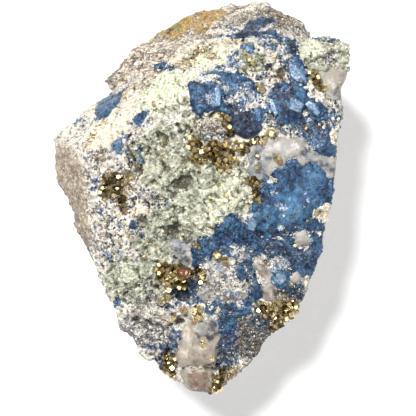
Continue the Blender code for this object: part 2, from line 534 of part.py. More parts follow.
def keep_largest(target):
    """Drops the crumbs that a cut leaves beside the main body."""
    shape = bmesh.new()
    shape.from_mesh(target.data)
    bodies = []
    left = set(shape.verts)
    while left:
        body = [left.pop()]
        for vertex in body:
            near = {edge.other_vert(vertex) for edge in vertex.link_edges} & left
            left -= near
            body.extend(near)
        bodies.append(body)
    bodies.sort(key=len)
    for crumb in bodies[:-1]:
        bmesh.ops.delete(shape, geom=crumb, context="VERTS")
    bmesh.ops.remove_doubles(shape, verts=shape.verts, dist=0.001 * MM)
    rims = [edge for edge in shape.edges if edge.is_boundary]
    bmesh.ops.holes_fill(shape, edges=rims, sides=6)
    shape.to_mesh(target.data)
    shape.free()


def cube_crystal(shape, size):
    bmesh.ops.create_cube(shape, size=2 * size)


def dodecahedron_crystal(shape, size):
    """A pyritohedron: twelve five-sided faces, as pyrite grows them."""
    corner = size * 0.77
    points = [(x, y, z) for x in (-corner, corner) for y in (-corner, corner) for z in (-corner, corner)]
    # The roof edges over the six sides of the cube, half again as far out and three quarters as far along
    for a in (-1.5 * corner, 1.5 * corner):
        for b in (-0.75 * corner, 0.75 * corner):
            points += [(0, a, b), (b, 0, a), (a, b, 0)]
    verts = [shape.verts.new(point) for point in points]
    bmesh.ops.convex_hull(shape, input=verts)


def crystal(place, size, kind, turn, group):
    shape = bmesh.new()
    (cube_crystal if kind == CUBE else dodecahedron_crystal)(shape, size * MM)
    bmesh.ops.rotate(shape, cent=(0, 0, 0), matrix=turn.to_matrix(), verts=shape.verts)
    bmesh.ops.translate(shape, vec=place, verts=shape.verts)
    return object_from(shape, "crystal", group)


def surface_height(tree, x, y):
    """Height of the rock's skin on a line of sight, in millimetres."""
    start = real_place(x, y, TOP)
    way = (real_place(x, y, 0.0) - start).normalized()
    hit = tree.ray_cast(start, way)[0]
    return hit.z / MM if hit else None


class Piece:
    """A body of mineral, with the pocket that it leaves in its neighbours."""

    def __init__(self, solid, pocket, outline):
        self.solid = solid
        self.pocket = pocket
        self.low = Vector((min(p[0] for p in outline), min(p[1] for p in outline)))
        self.high = Vector((max(p[0] for p in outline), max(p[1] for p in outline)))

    def near(self, other):
        return all(self.low[i] < other.high[i] + 1 and other.low[i] < self.high[i] + 1 for i in (0, 1))


def raise_heads(solid, low, head_height):
    """Sets the height of a column's upper corners, along their lines of sight."""
    for vertex in solid.data.vertices:
        if vertex.co.z > (low + GAP) * MM:
            x, y = read_place(vertex.co)
            vertex.co = real_place(x, y, head_height(x, y))


def plate(corners, low, tree, group):
    """A slab whose tilted top rises over the rock by the height given at each corner."""
    outline = [corner[:2] for corner in corners]
    solid = column("plate", outline, low, group)

    def head_height(x, y):
        rise = min(corners, key=lambda corner: math.dist(corner[:2], (x, y)))[2]
        return surface_height(tree, x, y) + rise

    raise_heads(solid, low, head_height)
    return solid


def mass(name, low, outline, skin_body, tree, part_group, guide_group):
    solid = column(name, outline, low, part_group)
    combine(solid, [skin_body], "INTERSECT")
    # A plate's foot stays inside the body that carries it
    plates = [plate(corners, low + 1.0, tree, guide_group) for owner, corners in PLATES if owner == name]
    combine(solid, plates, "UNION")
    return Piece(solid, column(name + "_pocket", grown(outline, GAP), low - GAP, guide_group), outline)


def cluster(name, outline, crystals, host, tree, rng, part_group, guide_group):
    """A bed of massive pyrite in a hollow of its own, with crystals standing on it."""
    heights = [surface_height(tree, x, y) for x, y in outline]
    low = min(height for height in heights if height) - BED_DEPTH
    limit = column(name + "_limit", outline, low, guide_group)
    solid = copy_of(limit, name, part_group)

    def head_height(x, y):
        return (surface_height(tree, x, y) or low + BED_DEPTH) - BED_DROP

    raise_heads(solid, low, head_height)
    if None in heights:
        combine(solid, [host], "INTERSECT")
    grains = []
    for x, y, size, kind in crystals:
        turn = Euler([rng.uniform(-0.6, 0.6), rng.uniform(-0.6, 0.6), rng.uniform(0.0, math.pi / 2)])
        place = real_place(x, y, head_height(x, y) + BED_DROP)
        grains.append(crystal(place, CRYSTAL_SCALE * size, kind, turn, guide_group))
    combine(solid, grains, "UNION")
    combine(solid, [limit], "INTERSECT")
    return Piece(solid, column(name + "_pocket", grown(outline, GAP), low - GAP, guide_group), outline)


def build():
    clear_scene()
    noise.seed_set(FACET_SEED)
    parts = new_collection("afghanite_on_pyrite")
    guides = new_collection("guides")
    materials = {name: material(name) for name in COLOURS}
    rng = random.Random(7)

    smooth_rock = block("smooth_rock", NEAR_BLOCK, guides)
    combine(smooth_rock, [block("back_block", BACK_BLOCK, guides)], "UNION")
    apply_modifier(smooth_rock, "REMESH", mode="VOXEL", voxel_size=VOXEL * MM)

    def rock_lift(point, normal):
        return face_lift(point, normal, HOST_FACETS)

    host = skin(smooth_rock, "host_rock", rock_lift, ROCK_TRIANGLES, parts)
    blue_skin = skin(smooth_rock, "blue_skin", afghanite_lift, BLUE_TRIANGLES, guides)
    white_skin = skin(smooth_rock, "white_skin", calcite_lift, WHITE_TRIANGLES, guides)
    graph = bpy.context.evaluated_depsgraph_get()
    tree = BVHTree.FromObject(host, graph)

    pieces = [(cluster(name, outline, crystals, host, tree, rng, parts, guides), "pyrite")
              for name, outline, crystals in PYRITE]
    pieces += [(mass(name, low, outline, white_skin, tree, parts, guides), "calcite")
               for name, low, outline in CALCITE]
    pieces += [(mass(name, low, outline, blue_skin, tree, parts, guides), "afghanite")
               for name, low, outline in AFGHANITE]
    for index, (piece, _) in enumerate(pieces):
        nearby = [first.pocket for first, _ in pieces[:index] if first.near(piece)]
        combine(piece.solid, nearby, "DIFFERENCE")
    combine(host, [piece.pocket for piece, _ in pieces], "DIFFERENCE")

    for solid, slot in [(host, "rock")] + [(piece.solid, slot) for piece, slot in pieces]:
        keep_largest(solid)
        solid.data.transform(Matrix.Translation(Vector((*CENTRE, 0)) * MM))
        solid.data.materials.clear()
        solid.data.materials.append(materials[slot])
    for guide in list(guides.objects):
        bpy.data.objects.remove(guide, do_unlink=True)
    bpy.data.collections.remove(guides)


build()
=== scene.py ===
"""Afghanite on pyrite: the dressed specimen, lying on a pale floor and seen from above."""

import math

import bmesh
import bpy
import numpy as np
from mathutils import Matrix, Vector, noise
from mathutils.bvhtree import BVHTree


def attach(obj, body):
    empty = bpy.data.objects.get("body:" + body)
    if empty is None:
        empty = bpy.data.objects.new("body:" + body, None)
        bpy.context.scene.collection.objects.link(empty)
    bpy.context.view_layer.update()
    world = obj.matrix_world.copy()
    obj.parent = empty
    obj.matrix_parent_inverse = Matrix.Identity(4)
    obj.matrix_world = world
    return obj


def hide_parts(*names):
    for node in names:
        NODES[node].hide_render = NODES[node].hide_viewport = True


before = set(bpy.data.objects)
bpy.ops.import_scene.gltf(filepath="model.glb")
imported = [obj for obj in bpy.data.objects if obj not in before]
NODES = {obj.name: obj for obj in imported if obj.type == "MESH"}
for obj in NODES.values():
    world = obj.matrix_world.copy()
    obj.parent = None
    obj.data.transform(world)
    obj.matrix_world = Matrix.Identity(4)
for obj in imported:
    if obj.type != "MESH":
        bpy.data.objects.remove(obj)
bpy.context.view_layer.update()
noise.seed_set(7)

MM = 0.001

# The middle of the specimen's base, and the point that the photograph is taken from, both in
# millimetres. Places on the display face are read as x and y on the level plane READ_LEVEL.
CENTRE = (1.91, -2.17)
READ_LEVEL = 60.0
EYE = (2.0, -3.3, 440.0)

# The grid of the fine surface, how far each solid swells to close the gaps between them, and
# how deep a body's rim dives under its neighbour
VOXEL = 1.03
SWELL = 0.22
DIVE = 1.3
UNDERSIDE = 2.6


# Places


def seen(points):
    """Where points in millimetres read on the level plane."""
    spread = (EYE[2] - READ_LEVEL) / (EYE[2] - points[:, 2])
    x = EYE[0] + (points[:, 0] - CENTRE[0] - EYE[0]) * spread
    y = EYE[1] + (points[:, 1] - CENTRE[1] - EYE[1]) * spread
    return np.stack([x, y], 1)


def real_place(x, y, z):
    """The point in millimetres at height z on the line of sight through (x, y)."""
    spread = (EYE[2] - z) / (EYE[2] - READ_LEVEL)
    return Vector((EYE[0] + (x - EYE[0]) * spread + CENTRE[0],
                   EYE[1] + (y - EYE[1]) * spread + CENTRE[1], z))


def step(value, low, high):
    t = np.clip((value - low) / (high - low), 0.0, 1.0)
    return t * t * (3 - 2 * t)


def waves(points, size, seed=0.0):
    """Soft noise from -1 to 1 with features of that size, in millimetres."""
    return np.array([noise.noise(p) for p in (points / size + seed).tolist()])


def wave_vectors(points, size, seed=0.0):
    return np.array([tuple(noise.noise_vector(p)) for p in (points / size + seed).tolist()])


def cells(points, size, seed=0.0):
    """Distance to the nearest and the second nearest cell middle, and the nearest middle."""
    near, second, middles = [], [], []
    for p in (points / size + seed).tolist():
        distances, places = noise.voronoi(p)
        near.append(distances[0])
        second.append(distances[1])
        middles.append(tuple(places[0]))
    return np.array(near), np.array(second), np.array(middles)


def facets(points, size, tilt, seed=0.0):
    """Height of flat broken facets: each cell is a plane with its own tilt and level."""
    _, _, middles = cells(points, size, seed)
    lean = np.array([tuple(noise.noise_vector(p)) for p in (middles * 7.31).tolist()])
    level = np.array([noise.noise(p) for p in (middles * 3.7).tolist()])
    return size * tilt * (((points / size + seed) - middles) * lean).sum(1) + size * 0.12 * level


def mosaic(points, size, seed=0.0):
    """Each point moved to the middle of its cell, so that what is read there has broken edges."""
    return (cells(points, size, seed)[2] - seed) * size


def blobs(at, spots):
    """The strongest of many soft spots: x, y, half width, half height, turn in degrees, strength."""
    total = np.zeros(len(at))
    for x, y, half_width, half_height, turn, strength in spots:
        c, s = math.cos(math.radians(turn)), math.sin(math.radians(turn))
        dx, dy = at[:, 0] - x, at[:, 1] - y
        far = ((dx * c + dy * s) / half_width) ** 2 + ((dy * c - dx * s) / half_height) ** 2
        total = np.maximum(total, strength * step(1.35 - np.sqrt(far), 0.0, 0.7))
    return total


def inside(at, outline):
    """Which of the seen points lie inside an outline of corners."""
    found = np.zeros(len(at), bool)
    for (x1, y1), (x2, y2) in zip(outline, outline[1:] + outline[:1]):
        crosses = (at[:, 1] < y1) != (at[:, 1] < y2)
        reach = x1 + (at[:, 1] - y1) * (x2 - x1) / ((y2 - y1) or 1.0)
        found ^= crosses & (at[:, 0] < reach)
    return found


# Meshes


def joined_shape(objects, swell):
    """One closed shape of several solids, each grown by swell millimetres."""
    whole = bmesh.new()
    for source in objects:
        shape = bmesh.new()
        shape.from_mesh(source.data)
        bmesh.ops.remove_doubles(shape, verts=shape.verts, dist=0.001 * MM)
        shape.normal_update()
        for vertex in shape.verts:
            vertex.co += vertex.normal * swell * MM
        mesh = bpy.data.meshes.new("swollen")
        shape.to_mesh(mesh)
        shape.free()
        whole.from_mesh(mesh)
        bpy.data.meshes.remove(mesh)
    return whole


def remeshed(shape, voxel):
    mesh = bpy.data.meshes.new("whole")
    shape.to_mesh(mesh)
    shape.free()
    holder = bpy.data.objects.new("whole", mesh)
    bpy.context.scene.collection.objects.link(holder)
    change = holder.modifiers.new("Remesh", "REMESH")
    change.mode = "VOXEL"
    change.voxel_size = voxel * MM
    graph = bpy.context.evaluated_depsgraph_get()
    done = bpy.data.meshes.new_from_object(holder.evaluated_get(graph))
    bpy.data.objects.remove(holder)
    bpy.data.meshes.remove(mesh)
    return done


class Net:
    """A triangle mesh in arrays: points in millimetres, triangles, edges and vertex normals."""

    def __init__(self, points, faces):
        self.points = points
        self.faces = faces
        pairs = np.sort(np.concatenate([faces[:, [0, 1]], faces[:, [1, 2]], faces[:, [2, 0]]]), axis=1)
        self.edges = np.unique(pairs, axis=0)
        self.count = np.bincount(self.edges.ravel(), minlength=len(points)).clip(1)

    def spread(self, values, rounds, share=0.5):
        """Values at the vertices, averaged with their neighbours."""
        a, b = self.edges[:, 0], self.edges[:, 1]
        size = len(self.points)
        values = values.reshape(size, -1).astype(float)
        for _ in range(rounds):
            around = np.stack([np.bincount(a, column[b], size) + np.bincount(b, column[a], size)
                               for column in values.T], 1) / self.count[:, None]
            values = values + share * (around - values)
        return values[:, 0] if values.shape[1] == 1 else values

    def normals(self, points=None):
        points = self.points if points is None else points
        corners = points[self.faces]
        flat = np.cross(corners[:, 1] - corners[:, 0], corners[:, 2] - corners[:, 0])
        out = np.zeros_like(points)
        for column in range(3):
            for corner in range(3):
                out[:, column] += np.bincount(self.faces[:, corner], flat[:, column], len(points))
        return out / np.maximum(np.linalg.norm(out, axis=1, keepdims=True), 1e-12)


def fine_surface():
    """The whole specimen as one skin, finer where the camera sees it."""
    mesh = remeshed(joined_shape(NODES.values(), SWELL), VOXEL)
    shape = bmesh.new()
    shape.from_mesh(mesh)
    bpy.data.meshes.remove(mesh)
    shape.normal_update()
    base = [face for face in shape.faces if face.normal.z < -0.9 and face.calc_center_median().z < 0.4 * MM]
    rim = {vertex for face in base for vertex in face.verts
           if any(other.normal.z > -0.9 for other in vertex.link_faces)}
    inner = list({edge for face in base for edge in face.edges if not rim & set(edge.verts)})
    bmesh.ops.dissolve_edges(shape, edges=inner, use_verts=True)
    fine = [face for face in shape.faces
            if face.normal.z > 0.30 and face.calc_center_median().z > 18 * MM]
    edges = list({edge for face in fine for edge in face.edges})
    bmesh.ops.subdivide_edges(shape, edges=edges, cuts=1, use_grid_fill=True)
    bmesh.ops.triangulate(shape, faces=shape.faces)
    shape.verts.index_update()
    points = np.array([vertex.co[:] for vertex in shape.verts]) / MM
    faces = np.array([[vertex.index for vertex in face.verts] for face in shape.faces])
    shape.free()
    net = Net(points, faces)
    normals = net.normals()
    net.points = net.spread(points - normals * SWELL, 3)
    low = (net.points[:, 2] < 0.8) & (normals[:, 2] < -0.5)
    net.points[low, 2] = 0.0
    net.points[:, 2] = net.points[:, 2].clip(0.0)
    return net


def owners_of(points, left_out=()):
    """The CAD node whose skin is nearest to each point."""
    names, corners, triangles, owner = list(NODES), [], [], []
    for index, name in enumerate(names):
        if name in left_out:
            continue
        mesh = NODES[name].data
        mesh.calc_loop_triangles()
        start = len(corners)
        corners.extend(vertex.co / MM for vertex in mesh.vertices)
        for triangle in mesh.loop_triangles:
            triangles.append([start + i for i in triangle.vertices])
            owner.append(index)
    tree = BVHTree.FromPolygons(corners, triangles)
    found = [owner[tree.find_nearest(p)[2]] for p in points.tolist()]
    return names, np.array(found)


def middle_of(name):
    """The middle of a CAD node, in millimetres."""
    return np.mean([vertex.co[:] for vertex in NODES[name].data.vertices], axis=0) / MM


def random_turns(rng, count):
    """As many random rotations, as matrices."""
    q = rng.normal(size=(count, 4))
    q /= np.linalg.norm(q, axis=1, keepdims=True)
    w, x, y, z = q.T
    rows = [[1 - 2 * (y * y + z * z), 2 * (x * y - z * w), 2 * (x * z + y * w)],
            [2 * (x * y + z * w), 1 - 2 * (x * x + z * z), 2 * (y * z - x * w)],
            [2 * (x * z - y * w), 2 * (y * z + x * w), 1 - 2 * (x * x + y * y)]]
    return np.array(rows).transpose(2, 0, 1)


def hull(points):
    """Corners and triangles of the convex hull of points."""
    shape = bmesh.new()
    for point in points:
        shape.verts.new(point)
    made = bmesh.ops.convex_hull(shape, input=shape.verts)
    bmesh.ops.delete(shape, geom=list({*made["geom_interior"], *made["geom_unused"]}), context="VERTS")
    bmesh.ops.recalc_face_normals(shape, faces=shape.faces)
    bmesh.ops.triangulate(shape, faces=shape.faces)
    shape.verts.index_update()
    corners = np.array([vertex.co[:] for vertex in shape.verts])
    faces = np.array([[vertex.index for vertex in face.verts] for face in shape.faces])
    shape.free()
    return corners, faces


def grain_shapes(rng, kinds=6):
    """Angular crystal grains about one unit in radius: cubes knocked out of square."""
    made = []
    for _ in range(kinds):
        corners = np.array([(x, y, z) for x in (-1, 1) for y in (-1, 1) for z in (-1, 1)], float)
        corners = corners * rng.uniform(0.45, 0.8, 3) + rng.normal(0, 0.16, corners.shape)
        made.append(hull(corners))
    return made


def pyrite_shapes():
    """A cube, a cube with its corners cut, and a twelve-faced pyritohedron."""
    cube = [(x, y, z) for x in (-0.8, 0.8) for y in (-0.8, 0.8) for z in (-0.8, 0.8)]
    cut = []
    for x, y, z in cube:
        cut += [(x * 0.55, y, z), (x, y * 0.55, z), (x, y, z * 0.55)]
    twelve = [tuple(0.77 * np.sign(corner)) for corner in cube]
    for a in (-1.15, 1.15):
        for b in (-0.58, 0.58):
            twelve += [(0, a, b), (b, 0, a), (a, b, 0)]
    return [hull(cube), hull(cut), hull(twelve)]


def scatter(rng, shapes, places, sizes, stretch):
    """Points and triangles of one grain at each place, and the index of the place of each point."""
    turns = random_turns(rng, len(places))
    kinds = rng.integers(0, len(shapes), len(places))
    points, faces, origins, start = [], [], [], 0
    for kind, (corners, triangles) in enumerate(shapes):
        chosen = np.flatnonzero(kinds == kind)
        if not len(chosen):
            continue
        scale = sizes[chosen, None] * rng.uniform(1 - stretch, 1 + stretch, (len(chosen), 3))
        grown = corners[None] * scale[:, None]
        placed = np.einsum("nij,nkj->nki", turns[chosen], grown) + places[chosen, None]
        shift = start + len(corners) * np.arange(len(chosen))[:, None, None]
        faces.append((triangles[None] + shift).reshape(-1, 3))
        points.append(placed.reshape(-1, 3))
        origins.append(np.repeat(chosen, len(corners)))
        start += len(corners) * len(chosen)
    return np.concatenate(points), np.concatenate(faces), np.concatenate(origins)


def spots_on(rng, points, faces, density, count):
    """Random places on a mesh, more of them where density is high: triangle and weights."""
    corners = points[faces]
    area = np.linalg.norm(np.cross(corners[:, 1] - corners[:, 0], corners[:, 2] - corners[:, 0]), axis=1)
    chance = area * density[faces].mean(1)
    chosen = rng.choice(len(faces), count, p=chance / chance.sum())
    share = rng.dirichlet((1, 1, 1), count)
    return faces[chosen], share


def piece_from(name, points, faces, material, slot, replaces=(), smooth=False, attributes=None):
    """A shown piece of the specimen, from points in millimetres."""
    mesh = bpy.data.meshes.new(name)
    mesh.from_pydata((points * MM).tolist(), [], faces.tolist())
    mesh.polygons.foreach_set("use_smooth", [smooth] * len(mesh.polygons))
    for key, values in (attributes or {}).items():
        if values.ndim == 1:
            mesh.attributes.new(key, "FLOAT", "POINT").data.foreach_set("value", values.astype(np.float32))
        else:
            colour = np.ones((len(values), 4), np.float32)
            colour[:, :3] = values
            mesh.attributes.new(key, "FLOAT_COLOR", "POINT").data.foreach_set("color", colour.ravel())
    mesh.materials.append(material)
    made = bpy.data.objects.new(name, mesh)
    bpy.context.scene.collection.objects.link(made)
    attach(made, "root")
    if replaces:
        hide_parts(*replaces)
    return made


# Colour zones of the rock

ZONES = {
    "green": [
        (17, 46, 5, 4, 0, 1), (23.5, 26, 3.4, 3, 0, 1), (28, 23, 4, 2, 0, 0.7),
        (-11, 35, 11, 7, 25, 1), (0, 4, 17, 16, 0, 1), (-23, -27.5, 11, 8, -18, 1), (-15, -18.5, 6, 4, 0, 1),
        (41, 46, 9, 7.5, 10, 1), (16, 46, 5.5, 5, 0, 0.8), (-12, -12, 11, 9, 0, 1), (2, 47, 8, 4.5, 10, 1),
        (-14, 14, 10, 10, 0, 1), (-2, 24, 10, 6, 10, 0.8), (13, 2, 6, 8, 0, 0.9), (34, 50, 5, 4, 0, 0.9)],
    "pale": [
        (-11, 36, 12, 6, 25, 1), (-4, 41, 9, 3, 15, 1), (2, 47, 8, 4.5, 10, 1), (-17, 27, 4, 5, 0, 0.9),
        (7, 0, 7, 5, 0, 0.8), (2, -7, 8, 5, 10, 0.7), (-17, 9, 5, 4, 0, 0.6), (37, 49, 7, 3, 0, 0.8),
        (-27, -24, 7, 4, 0, 0.6), (11, 5, 3, 5, 0, 0.8), (16, -4, 3, 3, 0, 0.6), (-30, 26, 5, 6, 45, 0.7)],
    "speckle": [
        (-28, -4, 8.5, 15, 4, 1), (-30, -14, 8, 9, 0, 0.8), (-24, 17, 6, 7, -40, 0.7),
        (-17, 0, 7, 4, 0, 0.9), (26, 49, 5, 5, 0, 0.9), (22, 41.5, 6, 3, 0, 0.7), (-35, 6, 3, 8, 0, 0.7)],
    "cream": [
        (-31, 21, 10, 5.5, 48, 1), (-21, 31, 9, 3.6, 40, 1), (39, -6, 4, 4, 0, 1), (43.5, 19.5, 3.5, 5, 0, 1),
        (40, -14, 1.8, 4.5, 0, 1), (-20, -7, 6, 6, 0, 0.9), (-27, -10, 8, 7, 0, 0.55), (36, -19, 2.6, 2.0, 0, 0.8), (-10, 46, 12, 3, 24, 1), (6, 51, 9, 2.2, 5, 1),
        (-28, -11, 6, 4, 0, 0.6)],
    "grey": [
        (44.5, 21, 2, 4, 0, 0.6), (-18, -45, 11, 5, -12, 0.8), (17, -46, 9, 9, -35, 1), (32.5, -30, 3.5, 3.5, 0, 0.9),
        (-20, -31, 7, 4, 10, 0.5), (42.5, 47, 1.8, 3.4, 0, 0.8), (-35, 14, 5, 2.6, 0, 1),
        (-28, 10, 5, 3, 0, 0.4), (-21, 13, 3, 3, 40, 0.3), (-10, -52, 5, 3, -20, 0.9), (7, -52, 4, 5, 0, 1),
        (24, 26.5, 3, 3, 0, 1), (29, 22, 4, 2, -20, 0.8), (-7, 4, 5, 2.5, 10, 0.35), (-10, -9.5, 4, 3, 0, 0.4),
        (-16, -35, 7, 2, -5, 0.6), (33, -20, 5, 4, 0, 0.4), (3, 22, 7, 3.4, 0, 0.7)],
    "brown": [
        (28, -32.5, 6, 3, 0, 0.7),
        (-34, 14, 2.4, 2, 0, 0.7), (26, -42, 7, 4, -45, 0.9), (9, -60, 7, 4, 35, 0.9), (20, -50, 7, 3, 45, 0.5),
        (-30, 40, 8, 3, 40, 0.5), (25, 60, 10, 3, 0, 0.5), (-25, 4, 3, 4, 0, 0.6),
        (39, -6, 3.4, 3.4, 0, 0.3), (43, 19.5, 3, 4.5, 0, 0.15), (0, 60, 8, 3, 20, 0.5),
        (15, 47, 2.5, 1.4, 0, 0.9), (25, 40, 4, 2, 0, 0.5), (-1, 48.5, 5, 2, 30, 0.8), (38, 38.5, 3.4, 1.8, -45, 0.7),
        (2, 24, 7, 3, 0, 0.45), (-30, 6, 5, 3, 0, 0.6), (-1, -27, 4, 3, 0, 0.6), (15, -46, 5, 4, 0, 0.4)],
    "stain": [(-8, 57, 7.5, 3.6, 28, 1), (3, 61, 5, 3, 20, 0.9), (-17, 53, 5, 2.4, 35, 0.6), (0, 57, 4, 3, 0, 0.8),
              (28, 61, 2, 1, -20, 0.8), (35, 58, 2.5, 1, -20, 0.7)],
    "moss": [(-9.5, 56.6, 3.2, 1.2, 5, 1), (-14, 55.5, 1.4, 0.8, 0, 0.6)],
    "blue": [
        (43.8, 28, 2.2, 5, 0, 0.8), (21.2, 43.8, 1.6, 1.0, 0, 0.7),
        (-6, -31, 5, 3.2, 0, 1), (30.5, -30.5, 4, 3, 0, 0.9), (-2.5, -28, 2.4, 2.4, 0, 1),
        (-27, 42.5, 1.4, 0.9, 30, 1), (-22.5, 44.5, 1.2, 0.8, 30, 1), (-13.2, 43.8, 3.2, 1.3, 38, 1),
        (-10.5, 43.4, 2.2, 0.9, 20, 1), (-36, 3, 1.2, 0.8, 0, 1), (-35, 5.5, 1.4, 1.2, 0, 1),
        (-31, -20, 1.1, 0.9, 0, 1), (-21, -19.5, 1.0, 1.0, 0, 1), (-28, -35, 1.4, 1.0, 0, 1),
        (-33.5, -4.5, 1.2, 1.2, 0, 1), (-20, -12, 1.2, 0.9, 0, 1), (41, 53.2, 5.0, 0.7, -2, 1),
        (-34, 26.8, 4.0, 0.8, 38, 1), (-41, 25.6, 2.6, 0.5, 20, 1), (-9, -46.5, 2.0, 3.0, 0, 1),
        (-13.5, -49.6, 6.0, 0.7, 0, 1), (-1, -33, 6, 2.6, 0, 0.9), (5, -34.5, 5, 2, 0, 1), (8, -52, 4, 5, -20, 0.7), (-12.5, -53.5, 3.5, 3, 0, 0.8),
        (16, -44, 6, 5, -40, 0.2), (14, -52, 6, 3, -45, 0.2), (9, -7, 4, 2, 20, 0.5), (36, 57, 3, 0.8, -15, 0.6),
        (32.5, 57.2, 2.2, 0.5, -15, 1), (18, 61.5, 2, 0.8, 0, 0.6), (9.7, 56.2, 2.2, 0.6, 0, 1), (20, -42, 3, 3, 0, 0.8), (6, 43.4, 2, 1, 0, 0.7),
        (-21, 26, 3, 3, 0, 0.35), (-4, -34, 5, 2, 0, 0.6), (23, -19, 3, 2, 0, 0.8), (18.5, -16, 2, 3, 0, 0.9),
        (-10, -36.5, 2.6, 2.4, 0, 0.5), (-20, 14, 1.4, 3, 30, 0.6), (29, 31, 9, 9, 0, 0.35), (21, 40, 3, 2, 0, 0.4)],
    # Darker areas: partly real dark slate rock, and partly painted shade in pits, under ledges and in recesses.
    "dark_rock_and_shade": [
        (23.5, 25.5, 3, 3, 0, 0.5), (21, 43.8, 2, 1.4, 0, 0.8), (19.5, 19.2, 3.4, 1.8, 0, 0.8),
        (-6, -31, 5, 3.4, 0, 1), (-2.5, -28, 3, 3, 0, 0.9), (28, -32, 7, 3.4, 0, 1), (-7, -41.5, 3, 2, 0, 0.6),
        (17, -46, 9, 8, -40, 1), (27, 59, 9, 3.5, -20, 0.9), (7, -55, 5, 5, 0, 0.9), (-20, -47, 8, 3, -15, 0.7),
        (-12, -54, 5, 4, 0, 1), (-32, 44, 4, 6, -30, 0.4), (36, 56, 4, 3, -30, 0.8), (43, 33, 2.5, 4, 0, 0.7),
        (-24, 4, 5, 5, 0, 0.35), (-17, -34, 8, 1.6, -5, 0.8), (30, -27, 4, 4, 0, 0.5),
        (-17, -38, 8, 2.4, -5, 0.6), (-4, -36, 4, 3, 0, 0.5), (24, 26, 3, 3, 0, 0.4), (3, 22, 6, 3, 0, 0.5)],
    "ridge": [
        (-37.5, 19, 3.4, 0.9, 60, 1), (-33, 25.5, 3.6, 0.7, 50, 0.7), (-27, 32.5, 3.6, 1.0, 52, 1),
        (-22.5, 37, 3.6, 0.8, 25, 1), (-15, 40.5, 5.0, 0.6, 22, 0.8), (-5, 45.5, 5.2, 1.2, 30, 1),
        (-25.2, 25, 2.2, 0.5, 50, 0.8), (2.5, 47.3, 2.6, 0.9, 0, 1), (-3, 44, 4, 0.7, 10, 1)],
}


# Zones of the broken front and the back block, which stop on the way down the sides
FRONT_ONLY = ("speckle", "grey", "brown", "blue", "dark_rock_and_shade", "ridge")


def zone_weights(points):
    """Each zone's weight at points in millimetres, with ragged edges."""
    ragged = seen(mosaic(points + 1.4 * wave_vectors(points, 4.0) + 0.6 * wave_vectors(points, 1.5), 0.9, 5.3))
    found = {name: blobs(ragged, spots) for name, spots in ZONES.items()}
    high = np.maximum(step(points[:, 2] + 5 * waves(points, 9.0, 35.3), 20, 32), step(points[:, 1], 42, 50))
    for name in FRONT_ONLY:
        found[name] *= high
    found["green"] *= 1 - 0.85 * (1 - high) * step(waves(points, 7.0, 36.1), -0.35, 0.1)
    return found


# Shaders


def shade(r, g, b):
    """A colour as it reads on a screen, from 0 to 255, as the linear value that a shader takes."""
    return tuple(((c / 255 + 0.055) / 1.055) ** 2.4 for c in (r, g, b)) + (1.0,)


